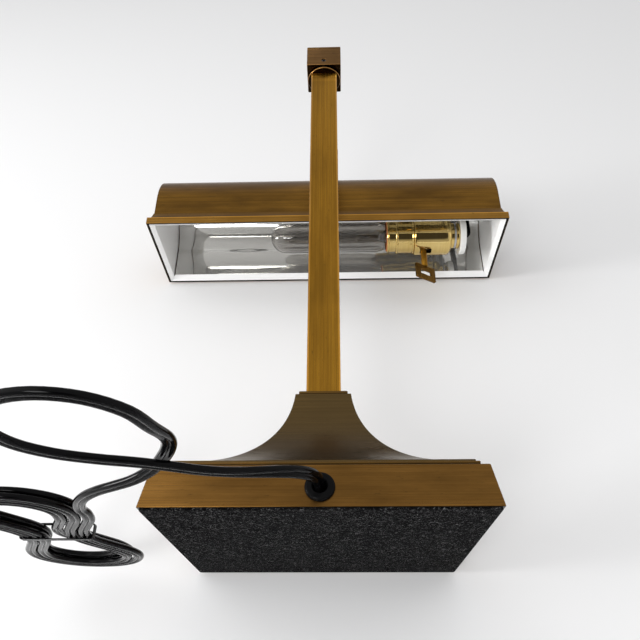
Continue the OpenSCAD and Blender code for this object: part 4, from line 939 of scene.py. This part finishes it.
def shellProfile():
    # a stepped tube with a rolled bead at its mouth, at the step and where it enters the cap
    at = np.linspace(k.mouth, k.cap + k.tuck, 240)
    radius = np.where(at < k.shell, k.mouthR, k.shellR)
    beads = ((k.mouth + 0.9, k.mouthR - 0.4, 1.25), (k.shell, k.shellR - 0.4, 1.2),
             (k.cap - 1.0, k.shellR - 0.3, 1.2))
    for centre, base, size in beads:
        bead = base + np.sqrt(np.maximum(size**2 - (at - centre) ** 2, 0.0))
        radius = np.where(np.abs(at - centre) < size, np.maximum(radius, bead), radius)
    return np.vstack([np.column_stack([at, radius]), [(k.cap + k.tuck, k.bore), (k.mouth, k.bore)]])


def ringProfile(low, high, outer, ease=0.4):
    # a ring round the nipple with eased outer edges
    return [(low, k.nipple), (low, outer - ease), (low + ease, outer), (high - ease, outer),
            (high, outer - ease), (high, k.nipple)]


def socketCap():
    # sheet cap: a rolled front lip, a straight wall with the key's slot left out, and a round back
    lip, back, radius = k.capLip, k.capBack, k.capR
    straight = np.linspace(k.cap + lip, k.neck - back, 9)
    straight = np.unique(np.concatenate([straight, [q.slotFrom, q.slotTo]]))
    profile = np.vstack([
        [(k.cap, k.shellR + 0.1)],
        arcOf((k.cap + lip, radius - lip), lip, 180, 90, 6)[:-1],
        np.column_stack([straight, np.full(len(straight), radius)]),
        arcOf((k.neck - back, radius - back), back, 90, 0, 9)[1:],
        [(k.neck, k.nipple)]])
    half, slotFaces = math.asin(q.slotHalf / radius), 4
    rest = np.linspace(half, 2 * math.pi - half, 84)[1:-1]
    around = np.concatenate([np.linspace(-half, half, slotFaces + 1), rest])
    spin = np.stack([np.zeros_like(around), np.sin(around), -np.cos(around)], -1)  # 0 points straight down
    along = profile[:, 0, None, None] * np.array(towardsEnd)
    grid = np.array(k.axis) + along + profile[:, 1, None, None] * spin[None]
    first, last = profile[:-1], profile[1:]
    inSlot = (first[:, 0] >= q.slotFrom - 1e-6) & (last[:, 0] <= q.slotTo + 1e-6)
    ring = inSlot & (first[:, 1] > radius - 1e-6)
    return solid(grid, caps=False, drop=ring[:, None] & (np.arange(len(around)) < slotFaces)[None, :])


turnedPiece("socketShell", shellProfile(), "socketBrass", "socket_shell", 45)
linerIn, linerFrom = k.liner - k.linerThick, k.mouth - k.linerOut
linerProfile = [(linerFrom, k.liner - 0.2), (linerFrom + 0.2, k.liner), (k.coreFace, k.liner),
                (k.coreFace, linerIn), (linerFrom, linerIn)]
turnedPiece("fibreLiner", linerProfile, "redFibre", "socket_liner", 40)
makePiece("socketCap", [socketCap()], "shade", "socketBrass", "socket_cap", sharp=40, wall=k.sheet)
strapTo, discTo = k.strapFrom + k.strapThick, k.disc + k.discThick
collarProfile, nutProfile = (ringProfile(*ends, k.neckR)
                             for ends in ((k.neck, k.strapFrom), (strapTo, k.neckEnd)))
turnedPiece("neckCollar", collarProfile, "socketBrass", "neck_collar", 30)
turnedPiece("neckNut", nutProfile, "socketBrass", "neck_nut", 30)
turnedPiece("insulatingDisc", ringProfile(k.disc, discTo, k.discR), "whiteCard", "insulating_disc", 30)

# straight out of the neck, a quarter round up, then along the end plate
turnUp = np.radians(np.linspace(0, 90, 13))
leadPath = np.vstack([
    [(x, 0, 0) for x in np.linspace(-k.neck, 1 - discTo, 5)],
    np.column_stack([-discTo - k.leadBend * np.sin(turnUp), 0 * turnUp, k.leadBend * (1 - np.cos(turnUp))]),
    [(-discTo - k.leadBend, 0, z) for z in np.linspace(9, k.leadTop - k.axis[2], 8)]]) + k.axis
makePiece("socketLead", [solid(sweepOf(circleOf(k.lead, 24), leadPath, side=(0, 1, 0)))], "shade",
          "cordVinyl", "socket_lead", sharp=50)

bulbSpec = {
    "tip": -59.5, "round": 15.9, "glass": 0.7, "tube": 50.5, "foot": 64.5, "footR": 12.5, "stemFoot": 8.0,
    "mount": 3.5, "rod": 1.2, "wheelFrom": 30.5, "wheelTo": -39.5, "wheelR": 6.0, "wire": 0.16,
    "support": 0.13, "hook": 0.4, "strands": 8,
}
b = SimpleNamespace(**bulbSpec)


def bulbProfile(inset):
    # half circle tip, straight tube, then an S curve in to the neck
    r = b.round - inset
    t = np.linspace(0, 1, 13)[1:]
    neck = np.column_stack([b.tube + (b.foot - b.tube) * t, r + (b.footR - inset - r) * smoothStep(t)])
    return np.vstack([arcOf((b.tip + b.round, 0), r, 180, 90, 25), [(b.tube, r)], neck])


def filamentParts():
    # strands zigzag between two wheels of support wires, which stand out from the glass rod
    a = np.arange(b.strands + 1) * 2 * math.pi / b.strands
    ends = np.where(np.arange(len(a)) % 2 == 0, b.wheelFrom, b.wheelTo)
    corner = np.column_stack([-ends, b.wheelR * np.cos(a), b.wheelR * np.sin(a)]) + k.axis
    strands = []
    for first, last in zip(corner[:-1], corner[1:]):
        t = np.linspace(0, 1, 12)[:, None]
        strands.append(solid(sweepOf(circleOf(b.wire, 6), first + (last - first) * t, side=(0, 0.3, 1))))
    for end in corner[:-1]:
        hub = np.array([end[0], k.axis[1], k.axis[2]])
        out = (end - hub) / np.linalg.norm(end - hub)
        t = np.linspace(b.rod, b.wheelR + b.hook, 5)[:, None]
        strands.append(solid(sweepOf(circleOf(b.support, 6), hub + out * t, side=(1, 0, 0))))
    return strands


bulbWall = np.vstack([bulbProfile(0.0), bulbProfile(b.glass)[::-1]])
makePiece("bulbGlass", [solid(turned(bulbWall, 80), caps=False)], "shade", "clearGlass", "bulb_glass",
          sharp=70)
stemRows = ((0, 0), (0, b.stemFoot), (4, 6.8), (8, 4.6), (12, b.mount), (30, b.mount), (32, 2.4),
            (34, b.rod))
stemProfile = [(b.foot - back, radius) for back, radius in stemRows]
stemProfile += [(b.wheelTo - 5, b.rod), (b.wheelTo - 6, 0)]
makePiece("bulbStem", [solid(turned(stemProfile, 40), caps=False)], "shade", "clearGlass", "bulb_stem",
          sharp=60)
makePiece("bulbFilament", filamentParts(), "shade", "drawnWire", "bulb_filament", sharp=70)


def keyParts():
    # a turned stem, and a flat bow with its window, turned about the stem
    low, top, ease = q.stemLow, q.stemTop, q.stemEase
    stem = [(low - q.footLong, 0), (low - q.footLong, q.foot), (low, q.stem), (top - ease, q.stem),
            (top, q.stem - ease), (top, q.spindle), (q.spindleTop, q.spindle), (q.spindleTop, 0)]
    thick, edge = q.bowThick, (q.bowX, q.bowZ, 1.0)
    window = (q.bowX - q.bar, q.bowZ - q.bar, 0.5)
    bow = tubeOf(-thick, thick, edge, window, 6)
    cos, sin = math.cos(q.turn), math.sin(q.turn)
    spun = np.array(((cos, -sin, 0), (sin, cos, 0), (0, 0, 1))) @ np.array(outY)
    return [solid(latheOf(stem, (q.x, k.axis[1], 0), (0, 0, 1), 40), caps=False),
            solid(placed(bow, spun, (q.x, k.axis[1], q.bowMid)), loop=True)]


makePiece("switchKey", keyParts(), "key", "keyBrass", "switch_key", sharp=35, bevel=0.45)
print("socket, bulb and key made")

# Inner pieces keep their solids and only get a finish
innerFinishes = {
    "zincSteel": "base_plate post_rod rod_nut_foot rod_nut_head socket_strap", "castIron": "base_weight",
    "cordVinyl": "post_lead boom_lead", "darkSteel": "block_set_screw", "blackMoulding": "socket_core",
    "socketBrass": "bracket_rivets socket_nipple screw_shell", "capAluminium": "bulb_base",
}
for finish, nodes in innerFinishes.items():
    for node in nodes.split():
        dressNode(node, finish)
print("inner pieces finished")

# Stage: a floor under the lamp, and the pale sheet that lies behind it in the photographer's view
stageSpec = {"floorHalf": 4.0, "floorDrop": 0.0002, "sheetHalf": 2.2, "sheetFrom": -1.2, "sheetTo": 2.4,
             "sheetBack": 0.0015, "tilt": (0.0, -112.5, 328.0), "foot": (0.0, -84.0, -1.0)}


def stageFinish(name, colour, seenOnlyByCamera):
    # shows its front face only, and lets the light through
    tree, shader = newFinish(name)
    setInputs(shader, {"Base Color": (*colour, 1.0), "Roughness": 0.9})
    rays = tree.nodes.new("ShaderNodeLightPath").outputs
    faces = tree.nodes.new("ShaderNodeNewGeometry").outputs
    hidden = mathNode("MAXIMUM", faces["Backfacing"], rays["Is Shadow Ray"])
    if seenOnlyByCamera:
        hidden = mathNode("MAXIMUM", hidden, mathNode("SUBTRACT", 1.0, rays["Is Camera Ray"]))
    clear = tree.nodes.new("ShaderNodeBsdfTransparent")
    mix = tree.nodes.new("ShaderNodeMixShader")
    setInputs(mix, {"Fac": hidden, 1: shader.outputs["BSDF"], 2: clear.outputs["BSDF"]})
    setInputs(tree.nodes["Material Output"], {"Surface": mix.outputs["Shader"]})


def stagePlane(name, corners, finish):
    mesh = bpy.data.meshes.new(name)
    mesh.from_pydata(corners, [], [(0, 1, 2, 3)])
    mesh.materials.append(finishes[finish])
    newObject(name, mesh)


stageFinish("paleFloor", (0.90, 0.90, 0.90), True)
stageFinish("paleSheet", (0.90, 0.90, 0.903), False)
half, drop = stageSpec["floorHalf"], -stageSpec["floorDrop"]
floorCorners = [(x * half, y * half, drop) for x, y in ((-1, -1), (1, -1), (1, 1), (-1, 1))]
stagePlane("floor", floorCorners, "paleFloor")
slope = np.array(stageSpec["tilt"]) / np.linalg.norm(stageSpec["tilt"])
facing = np.array((0.0, slope[2], -slope[1]))
foot = np.array(stageSpec["foot"]) * mm - facing * stageSpec["sheetBack"]
low, high = foot + slope * stageSpec["sheetFrom"], foot + slope * stageSpec["sheetTo"]
wide = np.array((stageSpec["sheetHalf"], 0.0, 0.0))
stagePlane("paleSheet", [tuple(p) for p in (low + wide, low - wide, high - wide, high + wide)], "paleSheet")

# Light: a large soft source from the photographer's upper left, a small fill, a low one from the left,
# and a pale room
lightSpec = {
    "softKey": {"at": (1.5, 1.6, 0.5), "size": 2.4, "power": 12.0},
    "softFill": {"at": (0.32, 0.85, -0.40), "size": 0.35, "power": 3.0},
    "softSide": {"at": (1.9, 0.45, -0.05), "size": 0.5, "power": 25.0},
}
lightAim = Vector((0.0, -0.08, 0.22))
for name, spec in lightSpec.items():
    lamp = bpy.data.lights.new(name, "AREA")
    lamp.shape, lamp.size, lamp.energy = "DISK", spec["size"], spec["power"]
    turn = (lightAim - Vector(spec["at"])).to_track_quat("-Z", "Y").to_matrix().to_4x4()
    newObject(name, lamp).matrix_world = Matrix.Translation(spec["at"]) @ turn

roomSpec = {
    "strength": 0.74, "lens": (0.0, 0.80, -0.60), "lensTone": (0.08, 0.075, 0.07),
    "wallTone": (1.1, 1.1, 1.1), "ends": ((0.9, 0.9, 0.91, 1.0), (1.0, 1.0, 1.0, 1.0)),
    "stops": ((0.42, 0.75), (0.56, 0.62), (0.78, 0.95)),
}


def towards(source, way):
    # cosine of the angle to a fixed direction
    return nodeOf("VectorMath", "Value", {0: source, 1: tuple(way)}, operation="DOT_PRODUCT")


def makeRoom(spec):
    # tone by the angle to the sheet, with pale walls at both sides
    # and the dark shape of whoever stands behind the lens
    room = bpy.data.worlds.new("paleRoom")
    bpy.context.scene.world = room
    room.use_nodes = True
    sky = room.node_tree
    way = sky.nodes.new("ShaderNodeTexCoord").outputs["Generated"]
    ramp = sky.nodes.new("ShaderNodeValToRGB")
    stops = ramp.color_ramp.elements
    for stop, place, colour in zip(stops, (0.0, 1.0), spec["ends"]):
        stop.position, stop.color = place, colour
    for place, tone in spec["stops"]:
        stops.new(place).color = (tone, tone, tone * 1.01, 1.0)
    setInputs(ramp, {"Fac": rangeNode(towards(way, facing), -1.0, 1.0)})
    sides = rangeNode(mathNode("ABSOLUTE", axisOf(way, "X"), 0.0), 0.45, 0.85)
    tone = mixNode(sides, ramp.outputs["Color"], spec["wallTone"])
    tone = mixNode(rangeNode(towards(way, spec["lens"]), 0.88, 0.95), tone, spec["lensTone"])
    setInputs(sky.nodes["Background"], {"Color": tone, "Strength": spec["strength"]})


makeRoom(roomSpec)
bpy.context.scene.view_settings.view_transform = "Standard"  # plain output, so the pale sheet stays white
print("stage and light made")

bpy.context.view_layer.update()
